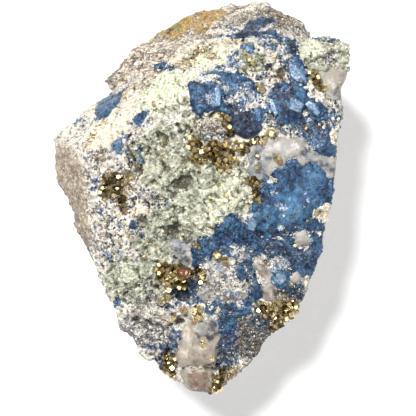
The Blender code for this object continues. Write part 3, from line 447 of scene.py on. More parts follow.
class Finish:
    """A material built from procedural textures measured in millimetres."""

    def __init__(self, name):
        self.material = bpy.data.materials.new(name)
        self.material.use_nodes = True
        self.nodes = self.material.node_tree.nodes
        self.links = self.material.node_tree.links
        self.shader = self.nodes["Principled BSDF"]
        place = self.add("ShaderNodeTexCoord")
        scaled = self.add("ShaderNodeVectorMath", operation="SCALE")
        self.links.new(place.outputs["Object"], scaled.inputs[0])
        scaled.inputs["Scale"].default_value = 1 / MM
        self.place = scaled.outputs[0]

    def add(self, kind, **settings):
        node = self.nodes.new(kind)
        for key, value in settings.items():
            setattr(node, key, value)
        return node

    def put(self, socket, value):
        if hasattr(value, "is_linked"):
            self.links.new(value, socket)
        else:
            socket.default_value = value

    def moved(self, amount, size):
        """The coordinates pushed about by noise."""
        node = self.add("ShaderNodeTexNoise")
        self.put(node.inputs["Vector"], self.place)
        node.inputs["Scale"].default_value = 1 / size
        push = self.add("ShaderNodeVectorMath", operation="MULTIPLY_ADD")
        self.links.new(node.outputs["Color"], push.inputs[0])
        push.inputs[1].default_value = (amount,) * 3
        self.links.new(self.place, push.inputs[2])
        return push.outputs[0]

    def noise(self, size, detail=3.0, rough=0.6, place=None, stretch=None):
        node = self.add("ShaderNodeTexNoise")
        place = place or self.place
        if stretch:
            turn = self.add("ShaderNodeMapping")
            self.put(turn.inputs["Vector"], place)
            turn.inputs["Rotation"].default_value = (0, 0, math.radians(stretch[0]))
            turn.inputs["Scale"].default_value = (stretch[1], 1, 1)
            place = turn.outputs[0]
        self.put(node.inputs["Vector"], place)
        node.inputs["Scale"].default_value = 1 / size
        node.inputs["Detail"].default_value = detail
        node.inputs["Roughness"].default_value = rough
        return node.outputs["Fac"]

    def cells(self, size, output="Distance", feature="F1", place=None):
        node = self.add("ShaderNodeTexVoronoi", feature=feature)
        self.put(node.inputs["Vector"], place or self.place)
        node.inputs["Scale"].default_value = 1 / size
        return node.outputs[output]

    def value(self, colour, channel=0):
        node = self.add("ShaderNodeSeparateColor")
        self.put(node.inputs[0], colour)
        return node.outputs[channel]

    def attribute(self, name, channel=None):
        node = self.add("ShaderNodeAttribute", attribute_name=name)
        return node.outputs["Fac"] if channel is None else self.value(node.outputs["Color"], channel)

    def step(self, value, low, high, out=(0.0, 1.0)):
        node = self.add("ShaderNodeMapRange", interpolation_type="SMOOTHSTEP")
        self.put(node.inputs[0], value)
        for index, number in zip((1, 2, 3, 4), (low, high, *out)):
            self.put(node.inputs[index], number)
        return node.outputs[0]

    def math(self, operation, a, b=0.0, clamp=False):
        node = self.add("ShaderNodeMath", operation=operation, use_clamp=clamp)
        self.put(node.inputs[0], a)
        self.put(node.inputs[1], b)
        return node.outputs[0]

    def mix(self, share, a, b, blend="MIX"):
        node = self.add("ShaderNodeMix", data_type="RGBA", blend_type=blend)
        self.put(node.inputs[0], share)
        self.put(node.inputs[6], a)
        self.put(node.inputs[7], b)
        return node.outputs[2]

    def over(self, weight, pattern, soft=0.25):
        """Where a weight from 0 to 1 wins over a pattern from 0 to 1: ragged, fairly sharp edges."""
        gap = self.math("SUBTRACT", weight, pattern)
        return self.step(gap, -soft * 0.2, soft)

    def bump(self, *heights):
        """Heights as (socket, millimetres), laid over one another."""
        normal = None
        for height, size in heights:
            node = self.add("ShaderNodeBump")
            node.inputs["Distance"].default_value = size * MM
            self.put(node.inputs["Height"], height)
            if normal:
                self.links.new(normal, node.inputs["Normal"])
            normal = node.outputs[0]
        self.links.new(normal, self.shader.inputs["Normal"])

    def set(self, **values):
        for key, value in values.items():
            self.put(self.shader.inputs[key.replace("_", " ")], value)


def rock_finish():
    f = Finish("marble_and_diopside")
    green, speckle, cream = (f.attribute("zones_a", i) for i in range(3))
    grey, brown, stain = (f.attribute("zones_b", i) for i in range(3))
    blue, hollow, ridge = (f.attribute("zones_c", i) for i in range(3))
    side, pale, band = (f.attribute("zones_d", i) for i in range(3))
    moss = f.attribute("moss")
    tone = f.attribute("tone")
    dark_rock_and_shade = f.attribute("dark_rock_and_shade")
    ragged = f.moved(1.2, 1.6)
    broad = f.noise(6.0, 4)
    middle = f.noise(2.0, 4, 0.65)
    fine = f.noise(0.6, 3, 0.7)
    grain = f.cells(1.0, "Color", place=ragged)
    grain_a, grain_b = (f.value(grain, i) for i in range(2))
    small = f.cells(0.5, "Color", place=ragged)
    small_a, small_b, small_c = (f.value(small, i) for i in range(3))
    patches = f.step(middle, 0.25, 0.75)

    marble = f.mix(f.step(broad, 0.35, 0.65), shade(228, 221, 206), shade(186, 180, 172))
    marble = f.mix(f.step(middle, 0.48, 0.68), marble, shade(246, 241, 229))
    marble = f.mix(f.step(small_b, 0.80, 0.90, (0.0, 0.8)), marble, shade(124, 116, 108))
    marble = f.mix(f.step(grain_a, 0.90, 0.95, (0.0, 0.8)), marble, shade(86, 82, 84))
    creamy = f.mix(f.step(middle, 0.35, 0.7), shade(212, 201, 180), shade(238, 232, 215))
    lines = f.noise(0.8, 3, 0.6, stretch=(-52, 0.10))
    creamy = f.mix(f.step(lines, 0.56, 0.66, (0.0, 0.6)), creamy, shade(190, 168, 130))
    green_tone = f.mix(f.step(middle, 0.34, 0.66), shade(128, 129, 112), shade(207, 207, 186))
    green_tone = f.mix(f.step(fine, 0.52, 0.72, (0.0, 0.8)), green_tone, shade(240, 239, 224))
    green_tone = f.mix(f.step(grain_b, 0.80, 0.92, (0.0, 0.7)), green_tone, shade(134, 140, 116))
    pale_tone = f.mix(f.step(middle, 0.32, 0.6), shade(200, 201, 172), shade(240, 239, 216))
    green_tone = f.mix(f.over(pale, f.step(fine, 0.2, 0.8), 0.6), green_tone, pale_tone)
    greyish = f.mix(f.step(middle, 0.40, 0.60), shade(112, 110, 112), shade(184, 179, 172))
    greyish = f.mix(f.step(small_a, 0.66, 0.78), greyish, shade(78, 80, 90))
    greyish = f.mix(f.step(small_c, 0.76, 0.88), greyish, shade(236, 231, 222))
    brownish = f.mix(small_b, shade(84, 66, 42), shade(164, 138, 92))
    stripes = f.noise(1.6, 4, 0.65, stretch=(-36, 0.16))
    banded = f.mix(f.step(stripes, 0.43, 0.56), shade(230, 219, 202), shade(100, 88, 75))
    banded = f.mix(f.step(small_c, 0.84, 0.92, (0.0, 0.7)), banded, shade(150, 122, 74))
    banded = f.mix(f.step(small_a, 0.80, 0.90, (0.0, 0.7)), banded, shade(92, 88, 92))
    shaded = f.mix(f.step(middle, 0.36, 0.64), shade(124, 110, 94), shade(194, 176, 150))
    shaded = f.mix(f.step(small_a, 0.74, 0.86, (0.0, 0.8)), shaded, shade(120, 108, 100))

    colour = f.mix(f.over(cream, patches), marble, creamy)
    colour = f.mix(f.over(green, patches), colour, green_tone)
    colour = f.mix(f.over(grey, f.step(middle, 0.2, 0.8)), colour, greyish)
    colour = f.mix(f.over(band, f.step(fine, 0.3, 0.7), 0.5), colour, banded)
    colour = f.mix(f.over(side, f.step(fine, 0.3, 0.7), 0.5), colour, shaded)
    clusters = f.step(f.noise(4.0, 2), 0.40, 0.60, (0.15, 1.35))
    speckle = f.math("MULTIPLY", speckle, clusters)
    for strength, value, tint in ((0.11, grain_a, shade(120, 142, 176)), (0.13, grain_b, shade(40, 50, 82)),
                                  (0.13, small_c, shade(110, 92, 72)), (0.08, small_a, shade(36, 40, 60))):
        colour = f.mix(f.over(f.math("MULTIPLY", speckle, strength), value, 0.06), colour, tint)
    colour = f.mix(f.over(f.math("MULTIPLY", brown, 0.7), small_c, 0.15), colour, brownish)
    colour = f.mix(f.over(f.math("MULTIPLY", stain, 0.9), middle, 0.4), colour,
                   f.mix(f.step(fine, 0.4, 0.62), shade(196, 160, 98), shade(126, 106, 68)))
    colour = f.mix(f.over(moss, f.step(fine, 0.3, 0.7), 0.5), colour, shade(126, 132, 82))
    streaked = f.step(f.noise(0.6, 3, 0.6, stretch=(-30, 0.16)), 0.36, 0.64)
    colour = f.mix(f.over(f.math("MULTIPLY", ridge, 0.62), streaked, 0.25), colour, shade(156, 130, 92))
    colour = f.mix(f.over(f.math("MULTIPLY", blue, 0.9), grain_a, 0.15), colour,
                   f.mix(f.step(small_b, 0.3, 0.7), shade(34, 56, 88), shade(94, 122, 150)))
    # Darker areas, partly real dark rock and partly painted shade in pits and under ledges.
    colour = f.mix(f.over(dark_rock_and_shade, f.step(fine, 0.3, 0.7), 0.7), colour,
                   f.mix(1.0, colour, f.mix(f.step(stripes, 0.42, 0.58), shade(192, 190, 190),
                                            shade(88, 86, 88)), "MULTIPLY"))
    # Painted shade: the rock is darkened in crevices, pits and broad dips, where shade would fall.
    dark = f.mix(1.0, colour, shade(108, 104, 94), "MULTIPLY")
    colour = f.mix(hollow, colour, dark)
    toned = f.math("MULTIPLY_ADD", tone, 0.55)
    toned.node.inputs[2].default_value = 0.70
    colour = f.mix(1.0, colour, toned, "MULTIPLY")
    f.set(Base_Color=colour, Roughness=f.step(grain_b, 0.0, 1.0, (0.40, 0.85)))
    f.shader.inputs["Specular IOR Level"].default_value = 0.4
    f.bump((f.noise(0.9, 4, 0.7), 0.42), (f.cells(0.5, place=ragged), 0.22))
    return f.material


def afghanite_finish():
    f = Finish("blue_afghanite")
    navy, light, white = (f.attribute("blues", i) for i in range(3))
    tone = f.attribute("tone")
    hollow = f.attribute("hollow")
    edge = f.attribute("edge")
    dull, glassy, icy = (f.attribute("kinds", i) for i in range(3))
    ragged = f.moved(1.6, 2.2)
    broad = f.noise(6.0, 5, 0.6)
    middle = f.noise(2.4, 6, 0.7, place=ragged)
    streaks = f.noise(1.5, 6, 0.75, place=ragged, stretch=(-35, 0.45))
    fine = f.noise(0.55, 4, 0.75)
    grain_c = f.value(f.cells(0.8, "Color", place=ragged), 2)
    small = f.value(f.cells(0.45, "Color", place=ragged), 1)
    patches = f.step(middle, 0.3, 0.7)

    colour = f.mix(f.step(broad, 0.38, 0.62), shade(34, 74, 114), shade(60, 110, 148))
    colour = f.mix(f.step(middle, 0.42, 0.53, (0.9, 0.0)), colour, shade(18, 36, 66))
    colour = f.mix(f.step(middle, 0.54, 0.66, (0.0, 0.85)), colour, shade(104, 144, 176))
    colour = f.mix(f.math("MULTIPLY", icy, f.step(patches, 0.0, 1.0, (0.35, 0.75))), colour,
                   f.mix(f.step(broad, 0.36, 0.64), shade(50, 98, 140), shade(92, 144, 182)))
    colour = f.mix(f.over(dull, patches, 0.5), colour,
                   f.mix(f.step(streaks, 0.42, 0.60), shade(30, 42, 66), shade(96, 114, 136)))
    colour = f.mix(f.over(navy, patches, 0.4), colour,
                   f.mix(f.step(fine, 0.4, 0.6), shade(18, 24, 42), shade(46, 58, 82)))
    colour = f.mix(f.over(light, patches, 0.4), colour,
                   f.mix(f.step(middle, 0.4, 0.6), shade(78, 116, 154), shade(140, 170, 198)))
    joints = f.cells(1.5, feature="DISTANCE_TO_EDGE", place=ragged)
    joints = f.math("MULTIPLY", f.step(joints, 0.02, 0.12, (0.75, 0.0)), f.math("SUBTRACT", 1.0, glassy))
    colour = f.mix(joints, colour, shade(20, 32, 56))
    colour = f.mix(f.step(grain_c, 0.84, 0.92, (0.0, 0.5)), colour, shade(24, 40, 72))
    glints = f.math("MULTIPLY", f.step(streaks, 0.58, 0.68), f.step(fine, 0.42, 0.58))
    colour = f.mix(f.math("MULTIPLY", glints, 0.7), colour, shade(200, 212, 222))
    powder = f.mix(f.step(fine, 0.42, 0.60), shade(236, 232, 224), shade(150, 166, 186))
    powder = f.mix(f.step(small, 0.84, 0.92, (0.0, 0.8)), powder, shade(84, 82, 84))
    dust = f.mix(0.45, f.noise(0.9, 6, 0.8, place=ragged), small)
    colour = f.mix(f.over(f.math("MULTIPLY", white, 0.72), dust, 0.22), colour, powder)
    edge = f.math("MULTIPLY", edge, f.step(glassy, 0.0, 1.0, (0.58, 0.15)))
    colour = f.mix(f.over(edge, dust, 0.16), colour, powder)
    rusty = f.math("MULTIPLY", f.step(fine, 0.60, 0.68), f.step(grain_c, 0.6, 0.8))
    colour = f.mix(f.math("MULTIPLY", rusty, 0.7), colour, shade(104, 82, 58))
    # Painted shade: the blue is darkened in its crevices and dips.
    dark = f.mix(1.0, colour, shade(100, 106, 122), "MULTIPLY")
    colour = f.mix(f.step(hollow, 0.0, 1.0, (0.0, 0.9)), colour, dark)
    toned = f.math("MULTIPLY_ADD", tone, 0.8)
    toned.node.inputs[2].default_value = 0.40
    colour = f.mix(1.0, colour, toned, "MULTIPLY")
    f.set(Base_Color=colour, Roughness=f.step(middle, 0.35, 0.65, (0.20, 0.45)))
    f.shader.inputs["IOR"].default_value = 1.53
    f.shader.inputs["Specular IOR Level"].default_value = 0.35
    f.shader.inputs["Coat Weight"].default_value = 0.1
    f.shader.inputs["Coat Roughness"].default_value = 0.15
    f.bump((f.noise(1.1, 5, 0.7), 0.40), (f.cells(0.5, place=ragged), 0.12))
    return f.material


def calcite_finish():
    f = Finish("waxy_calcite")
    grey, rosy, white = (f.attribute("whites", i) for i in range(3))
    sugary = f.attribute("sugary")
    tone = f.attribute("tone")
    hollow = f.attribute("hollow")
    middle = f.noise(2.6, 4, 0.6)
    fine = f.noise(0.8, 3, 0.65)
    dust = f.value(f.cells(0.7, "Color"), 0)
    colour = f.mix(f.step(middle, 0.35, 0.7), shade(134, 130, 125), shade(168, 164, 158))
    veils = f.step(f.noise(3.4, 5, 0.7), 0.40, 0.60)
    colour = f.mix(f.over(grey, f.step(middle, 0.25, 0.75), 0.5), colour,
                   f.mix(veils, shade(60, 64, 70), shade(134, 137, 140)))
    colour = f.mix(f.over(rosy, f.step(middle, 0.25, 0.75), 0.5), colour,
                   f.mix(veils, shade(110, 94, 84), shade(142, 127, 115)))
    colour = f.mix(f.over(white, f.step(middle, 0.25, 0.75), 0.4), colour,
                   f.mix(veils, shade(156, 153, 148), shade(194, 190, 184)))
    colour = f.mix(f.step(dust, 0.93, 0.96, (0.0, 0.5)), colour, shade(150, 132, 108))
    colour = f.mix(f.attribute("warm"), colour, f.mix(1.0, colour, shade(255, 246, 234), "MULTIPLY"))
    ragged = f.moved(1.4, 1.8)
    mixed = f.cells(0.75, "Color", place=ragged)
    mix_a, mix_b, mix_c = (f.value(mixed, i) for i in range(3))
    sugar = f.mix(f.step(mix_a, 0.2, 0.8), shade(98, 103, 106), shade(190, 187, 178))
    sugar = f.mix(f.step(f.noise(3.0, 4, 0.7), 0.52, 0.60, (0.0, 0.8)), sugar, shade(92, 112, 136))
    sugar = f.mix(f.step(mix_b, 0.76, 0.84, (0.0, 0.8)), sugar, shade(52, 66, 90))
    sugar = f.mix(f.step(mix_c, 0.80, 0.88, (0.0, 0.8)), sugar, shade(88, 82, 76))
    sugar = f.mix(f.step(mix_a, 0.90, 0.94), sugar, shade(138, 112, 82))
    colour = f.mix(f.over(sugary, f.step(middle, 0.25, 0.75), 0.4), colour, sugar)
    colour = f.mix(f.step(fine, 0.62, 0.75, (0.0, 0.4)), colour, shade(168, 164, 160))
    # Painted shade: the calcite is darkened in its crevices and dips.
    colour = f.mix(f.step(hollow, 0.0, 1.0, (0.0, 0.7)), colour, shade(120, 112, 102), "MULTIPLY")
    toned = f.math("MULTIPLY_ADD", tone, 0.3)
    toned.node.inputs[2].default_value = 0.85
    colour = f.mix(1.0, colour, toned, "MULTIPLY")
    f.set(Base_Color=colour, Roughness=f.step(fine, 0.3, 0.7, (0.25, 0.5)))
    f.shader.inputs["IOR"].default_value = 1.5
    f.shader.inputs["Subsurface Weight"].default_value = 0.35
    f.shader.inputs["Subsurface Radius"].default_value = (1.0, 0.9, 0.8)
    f.shader.inputs["Subsurface Scale"].default_value = 1.2 * MM
    f.bump((f.noise(1.6, 4, 0.55), 0.25), (f.noise(0.4, 2, 0.6), 0.05))
    return f.material


def pyrite_finish():
    f = Finish("brassy_pyrite")
    tone = f.attribute("tone")
    hollow = f.attribute("hollow")
    ragged = f.moved(0.5, 0.8)
    middle = f.noise(1.2, 4, 0.65)
    fine = f.noise(0.35, 3, 0.7)
    grain = f.value(f.cells(0.8, "Color", place=ragged), 0)
    colour = f.mix(f.step(tone, 0.15, 0.85), shade(106, 90, 58), shade(240, 222, 174))
    colour = f.mix(f.step(middle, 0.35, 0.60, (0.6, 0.0)), colour, shade(120, 100, 62))
    colour = f.mix(f.step(fine, 0.54, 0.70, (0.0, 0.6)), colour, shade(78, 58, 34))
    # Painted shade: near-black brown where the cavity weight is high, in the gaps between crystals and in recesses.
    colour = f.mix(hollow, colour, shade(40, 33, 25))
    rust = f.attribute("rust")
    colour = f.mix(rust, colour, shade(100, 48, 30))
    f.set(Base_Color=colour, Roughness=f.step(middle, 0.3, 0.7, (0.18, 0.38)))
    # The painted-shade gaps are also made mostly non-metallic, so they stay dark; the rusty pit is dull for real.
    f.set(Metallic=f.step(f.math("MAXIMUM", hollow, rust), 0.3, 1.0, (1.0, 0.2)))
    stripes = f.noise(0.25, 2, 0.5, stretch=(20, 0.15))
    f.bump((grain, 0.05), (stripes, 0.03), (fine, 0.05))
    return f.material


def floor_finish():
    f = Finish("pale_floor")
    speck = f.noise(2.0, 3, 0.6)
    f.set(Base_Color=f.mix(f.step(speck, 0.3, 0.7), shade(246, 246, 246), shade(249, 249, 249)),
          Roughness=0.9)
    f.bump((speck, 0.02))
    return f.material


# Surfaces of the minerals

BLUES = {
    "navy": [
        (13, 25, 5.5, 5.5, 0, 1), (29, 33, 4.5, 5.5, 20, 0.8), (26, 49, 3, 3.5, 0, 0.7),
        (21, 1, 3, 4, 0, 0.5), (24, -16, 5, 2.5, 0, 0.6), (10, -41, 3, 4, 0, 0.4),
        (23, -10, 6, 1.5, -10, 0.5), (16, -30, 2, 5, 0, 0.4), (17, 57, 9, 4, 20, 0.8), (29.6, 50, 2, 3.4, 0, 0.8),
        (-2, 35, 3.4, 5, 0, 0.35), (2, -33, 8, 3, 0, 0.6), (10, -53, 5, 5, 0, 0.7)],
    "light": [
        (-28, 17.5, 2.4, 3, 0, 0.9), (26, -22.5, 4, 4, 0, 0.7),
        (15.4, 49.8, 2.0, 2.2, 0, 1), (9.6, 46, 1.8, 1.4, 0, 1), (5, 33.5, 1.3, 4.5, -10, 1), (11, 37, 6, 3.4, -10, 0.6), (31.5, 41.5, 3.2, 3.4, 0, 0.9),
        (18.5, 32, 3.4, 4, 0, 0.7), (31, 31, 2.6, 2.4, 40, 0.8), (36.5, 30.5, 2.8, 1.8, -40, 0.9),
        (37, 20, 6, 3, -30, 0.6), (25.7, -26.5, 2.6, 2.6, 0, 0.9), (3, -17, 3.4, 3, 0, 0.4),
        (16.8, -8.5, 1.6, 3, 0, 0.5), (9, -7.5, 2.2, 1.8, 0, 0.5), (-31, 32, 4, 2.6, 40, 0.5)],
    "white": [
        (25.5, -21.8, 3.6, 3, 0, 0.75), (1, 40.2, 4, 1.4, 6, 1), (2.5, 33.5, 1.8, 1.8, 0, 0.8), (18.5, 34, 3.5, 2.5, 0, 0.7),
        (10.5, 33, 2.8, 1.8, 20, 0.8), (23.5, 6, 1.8, 1.2, 0, 0.9), (23.7, 1.5, 1.0, 0.7, 0, 0.9),
        (26.2, -2.8, 2.4, 1.0, -10, 0.9), (26, -10, 1.3, 1.3, 0, 0.9), (34.5, 1.5, 0.9, 0.7, 0, 0.9),
        (35.5, -0.5, 0.9, 0.7, 0, 0.9), (29, 22, 3.4, 2.4, 0, 0.7), (12.5, -19, 4, 3.2, 0, 0.7),
        (27, 48, 3, 7, 30, 0.62), (36, 21, 8, 4, -30, 0.5), (22, -17, 3.4, 4.4, 0, 0.5),
        (11, 37, 7.5, 3.6, 0, 0.55), (33, -18, 5, 3.6, 0, 0.45), (14, 32, 4.5, 3.5, 0, 0.55),
        (9, -20, 7, 5, 0, 0.5), (16, -26, 4, 5, 0, 0.45), (9, -38, 7, 3, 0, 0.4), (27, 2, 8, 8, 0, 0.36),
        (10, 57, 8, 2, 10, 0.3), (31, 37, 3, 2, 0, 0.4)],
}
WHITES = {
    "grey": [
        (18.5, 12, 4.5, 6, 0, 1), (23, 14, 4, 3, 0, 0.6), (39, 11, 6, 3, -30, 1), (1.6, -43.5, 4.4, 3.8, 0, 1), (1.5, -25.5, 2.4, 3.4, 0, 0.8),
        (38, 13, 6, 3, -30, 1), (-6, -20, 2.8, 3, 0, 1), (-8, -15, 4, 3, 0, 1), (18.5, 7.5, 4, 3, 0, 1), (18, 18, 5, 2.4, 0, 0.9), (0, -62, 4, 3.4, 0, 0.7),
        (46, 34, 3, 4, 0, 0.8)],
    "rosy": [(12.5, -30.5, 3.4, 3.4, 0, 0.8), (8.5, -26, 3, 3.4, 0, 0.4), (-1, -61, 4, 4.5, 0, 1),
             (22, -31, 2.4, 3.6, 0, 0.8), (20, -23, 3, 3.4, 0, 0.7), (-1, -54, 4, 2.4, 0, 0.5)],
    "white": [(28, 17, 4, 2.6, 0, 1), (3, -22.5, 2, 2, 0, 0.8), (6.5, -31, 2.6, 1.8, 0, 0.8),
      (-5.8, -48, 2.6, 7.0, 0, 0.9), (33.5, -13.4, 2.0, 2.0, 0, 0.4), (43, 39, 3, 3, 0, 0.6)],
}


PITS = [
    (-10.2, -21.9, 1.1, 1.5, 0, 1), (-11.5, -13.6, 1.8, 1.0, 0, 0.9),
    (-7, 5, 4.4, 3.2, 10, 0.7), (-12, -13, 2.2, 1.2, 20, 0.8), (-6.3, 23.5, 1.2, 1.8, 0, 1), (-16, 16.8, 2.0, 1.7, -25, 1), (-9.5, -10.5, 3.6, 2.4, 20, 0.7),
    (-13.3, 20.5, 2.0, 1.1, 35, 1), (-7, 23, 2.0, 2.8, 0, 0.9), (0.5, 26.8, 4.4, 1.2, 10, 0.9),
    (9.3, 19.3, 1.5, 2.6, 0, 0.9), (18, 19, 2.8, 1.2, 0, 0.7), (21, 43, 1.9, 1.2, 20, 0.7),
    (26.5, 41.5, 3.0, 1.2, 10, 0.7), (-23, 10.5, 1.6, 4.2, 20, 0.7), (16, -10.8, 4.8, 1.0, -12, 0.8),
    (20, -14, 1.8, 2.0, 0, 0.7), (-7.5, -31.5, 2.8, 2.6, 0, 0.9), (18.6, -34, 1.4, 2.2, 0, 0.8),
    (28, -38.5, 2.6, 1.8, 35, 0.6), (-11, -53.5, 3.0, 2.6, 0, 0.9), (3.8, -56.8, 2.2, 1.3, 0, 0.8),
    (-8.5, -41, 3.2, 1.3, 10, 0.8), (-20, -7, 1.5, 1.3, 0, 0.6), (4, -1.5, 1.0, 3.2, 10, 0.6),
    (-17, -34, 5, 1.2, 10, 0.5), (-20, -41.2, 9, 1.2, -12, 0.7), (-12, 30.5, 3.0, 1.0, 30, 0.6),
    (-5, -14.5, 3.0, 1.4, 30, 0.8), (12.6, 23, 1.0, 2.6, 0, 0.4), (33, -22, 1.6, 3.0, 0, 0.5)]
DULL = [(37, 22, 6, 4.5, -30, 1), (13, 25, 6, 6, 0, 0.6), (8, -20, 8, 5, 0, 0.7), (32, -19, 7, 4, 0, 0.8),
        (24, -18, 5, 5, 0, 0.9), (8, -38, 5, 5, 0, 0.8), (8, -50, 5, 5, 0, 1), (14, -28, 4, 5, 0, 0.8),
        (11, 37, 6, 3, 0, 0.5), (29, 33, 4, 5, 0, 0.35), (-31, 32, 5, 3, 40, 0.7), (24, 4, 3, 4, 0, 0.5)]
ICY = [(30, -2, 9, 5.5, 10, 1), (36, 6, 4, 4, 0, 0.7)]
BANDED = [(-18, 50, 15, 8, 35, 1), (0, 58, 22, 6, 15, 0.8), (20, 60, 16, 4, -5, 0.5), (-29, 42, 8, 6, 45, 1)]
SHADED = [(-44, 6, 5.5, 14, 18, 1), (-41, -10, 4, 10, 15, 1), (-37, -28, 3, 10, 15, 0.5)]


# Single pyrite crystals set in another mineral
SINGLES = ("pyrite_ball_in_calcite", "pyrite_pair_in_blue", "pyrite_vein_single", "pyrite_golden_pair",
           "pyrite_upper_pair", "pyrite_top_single", "pyrite_drop")
# Outlines that reach past the solid of the same name, or leave part of it bare
OUTLINES = [
    ("host_rock", [
        (-4.6, -26.0), (-3.4, -25.4), (-2.2, -26.4), (-0.6, -27.2), (-0.2, -29.0), (-1.5, -31.5), (-5.5, -31.8),
        (-9.8, -33.0), (-10.4, -29.8), (-8.8, -29.4), (-6.8, -30.6), (-5.6, -29.4)]),
    ("host_rock", [(2, 51.6), (28, 51.6), (28, 62), (2, 62)]),
    ("afghanite_back_streak", [
        (3.0, 53.6), (5, 54.3), (9, 54.4), (11.5, 55.3), (13.5, 56.3), (15, 58.4), (16.4, 59.5), (19.6, 60.3),
        (21.5, 59.9), (23.8, 59.8), (25.9, 58.2), (24.6, 57.5), (22.4, 57.4), (20.4, 56.7), (18.8, 55.8),
        (20.5, 55.6), (22.5, 56.3), (24, 56.3), (25, 55.2), (26.2, 54.4), (22.5, 54.4), (19, 53.6),
        (15.5, 53.8), (12, 53.2), (9.5, 53.4)]),
    ("calcite_left_grain", [
        (-10, -12.5), (-7.5, -13.8), (-5, -15), (-4, -18), (-3, -21), (-5, -23.5), (-7.5, -22), (-8.5, -19),
        (-10.5, -17), (-11.5, -14.5)]),
    ("afghanite_top_ridge", [
        (17, 52.4), (20, 53.9), (23, 54.3), (26, 54.2), (28.6, 53.2), (31.0, 52.8), (31.4, 50.0), (30.8, 47.2),
        (32.6, 44.0), (29.0, 44.2), (27.4, 44.8), (25.8, 46.0), (27.0, 48.4), (27.6, 50.0), (25.4, 51.4),
        (22.6, 52.0), (20, 52.2)])]
# Where the skin stands out or back from the solids, and by how many millimetres
SWELLS = [
    (-14, 59, 15, 6, 35, -1.5), (-27, 47, 5, 5, 60, -0.8), (19, 64.5, 4, 3, 0, 1.8), (28, 61, 7, 4, -35, 1.2),
    (35, 57, 4, 4, -45, 0.4), (47, 33, 2.5, 5, 0, -1.0), (-27, -47, 6, 5, -50, 2.2), (-27.5, -42.5, 3, 4, 0, 1.4), (-21, -54, 4, 4, -50, 1.2),
    (27, -45, 7, 3, 50, -1.0), (30, -39, 3, 3, 0, 1.4), (43, 53.5, 4.5, 2, 0, 1.1), (-22.5, 48.5, 2, 2, 0, 1.2)]
# Marble that shows through the blue
ROCK_ISLANDS = [
    (11.2, 50.8, 1.8, 0.9, 0, 1), (13.2, 48.0, 0.7, 1.7, 0, 0.9), (25.6, 47.5, 1.3, 4.6, 8, 1),
    (18.8, 31.6, 2.6, 1.2, 30, 1), (10.5, 33.6, 2.0, 0.9, 15, 1), (27.2, 42.5, 1.3, 2.2, 0, 1),
    (22.4, 36.6, 0.9, 2.4, 30, 0.9), (29.5, 23.4, 2.6, 1.0, -10, 1), (40.4, 24.5, 1.1, 2.2, 10, 1),
    (13.6, -18.4, 1.6, 1.2, 0, 1), (10.8, -15.2, 1.5, 0.9, 20, 1), (24.4, -20.0, 1.2, 1.6, 0, 0.9),
    (4.6, -37.6, 1.4, 1.0, 0, 0.9), (33.6, -16.4, 1.2, 0.6, 0, 1)]


def weights(points, table, names):
    ragged = seen(mosaic(points + 0.9 * wave_vectors(points, 2.6) + 0.4 * wave_vectors(points, 1.1), 0.7, 8.3))
    return np.stack([blobs(ragged, table[name]) for name in names], 1)


def kinds_at(points):
    """How dull, how glassy and how icy the blue is."""
    at = seen(points + 1.2 * wave_vectors(points, 3.0))
    return np.stack([blobs(at, DULL), blobs(at, GLASSY), blobs(at, ICY)], 1)


def rock_attributes(zones, hollow, tone):
    def stack(*names):
        return np.stack([zones[name] for name in names], 1)

    return {"zones_a": stack("green", "speckle", "cream"), "zones_b": stack("grey", "brown", "stain"),
            "zones_c": np.stack([zones["blue"], hollow, zones["ridge"]], 1),
            "zones_d": stack("side", "pale", "band"), "dark_rock_and_shade": zones["dark_rock_and_shade"], "moss": zones["moss"], "tone": tone}


def hollow_at(net, points, normals, fine=(4, 0.26), broad=(40, 0.9)):
    """0 on open skin, 1 deep in a crevice or dip, from fine crevices and from broad hollows: the weight of the painted
    shade.
    """
    depth = [(((net.spread(points, rounds, 0.7) - points) * normals).sum(1)) / full
             for rounds, full in (fine, broad)]
    return np.clip(0.6 * step(depth[0], 0.1, 1.0) + 0.9 * step(depth[1], 0.1, 1.0), 0, 1)


def strata(points):
    """Broken layers of the back block, along its slanting bands."""
    at = seen(points)
    turn = math.radians(36)
    along = at[:, 0] * math.cos(turn) + at[:, 1] * math.sin(turn)
    across = at[:, 1] * math.cos(turn) - at[:, 0] * math.sin(turn)
    laid = np.stack([along * 0.30, across, points[:, 2] * 0.5], 1)
    return 1.4 * waves(laid, 2.6, 71.3) + 0.7 * waves(laid, 1.2, 73.9)


def rock_lift(points, zones):
    """Fine relief of the marble and the diopside, in millimetres."""
    sugar = 0.35 + 0.65 * np.maximum(zones["green"], 0.6 * zones["speckle"])
    bent = points + 1.8 * wave_vectors(points, 4.2, 3.7) + 0.7 * wave_vectors(points, 1.5, 3.7)
    lumps = 2.2 * (0.45 - cells(bent, 6.5, 11.3)[0]) * (0.2 + 0.8 * zones["green"])
    clots = (1.9 * np.abs(waves(bent, 3.6, 17.3)) + 1.0 * np.abs(waves(bent, 1.7, 19.1)) - 0.5) * sugar
    rough = 0.40 * waves(points, 3.1) + 0.30 * waves(points, 1.4, 5.1) + 0.26 * waves(points, 0.75, 9.7)
    pits = -1.1 * step(waves(bent, 3.4, 21.7), 0.30, 0.60) * (0.25 + 0.75 * zones["green"])
    broken = 0.6 * facets(points, 4.2, 0.30, 3.3)
    uneven = 0.8 + 1.1 * waves(bent, 2.2, 25.1)
    return lumps + clots + rough + pits + broken - zones["pit"] * uneven + zones["band"] * strata(points)


# Where the blue is smooth as glass, and not sugary with small crystals
GLASSY = [(30, -2, 11, 7, 10, 1), (36, 7, 5, 4, 0, 0.8), (29, 34, 5, 4, 20, 1), (24, -9, 5, 2, 0, 0.7),
          (17.5, -8.5, 1.6, 3.4, 0, 0.8), (34, 40, 2, 3, 0, 0.8)]


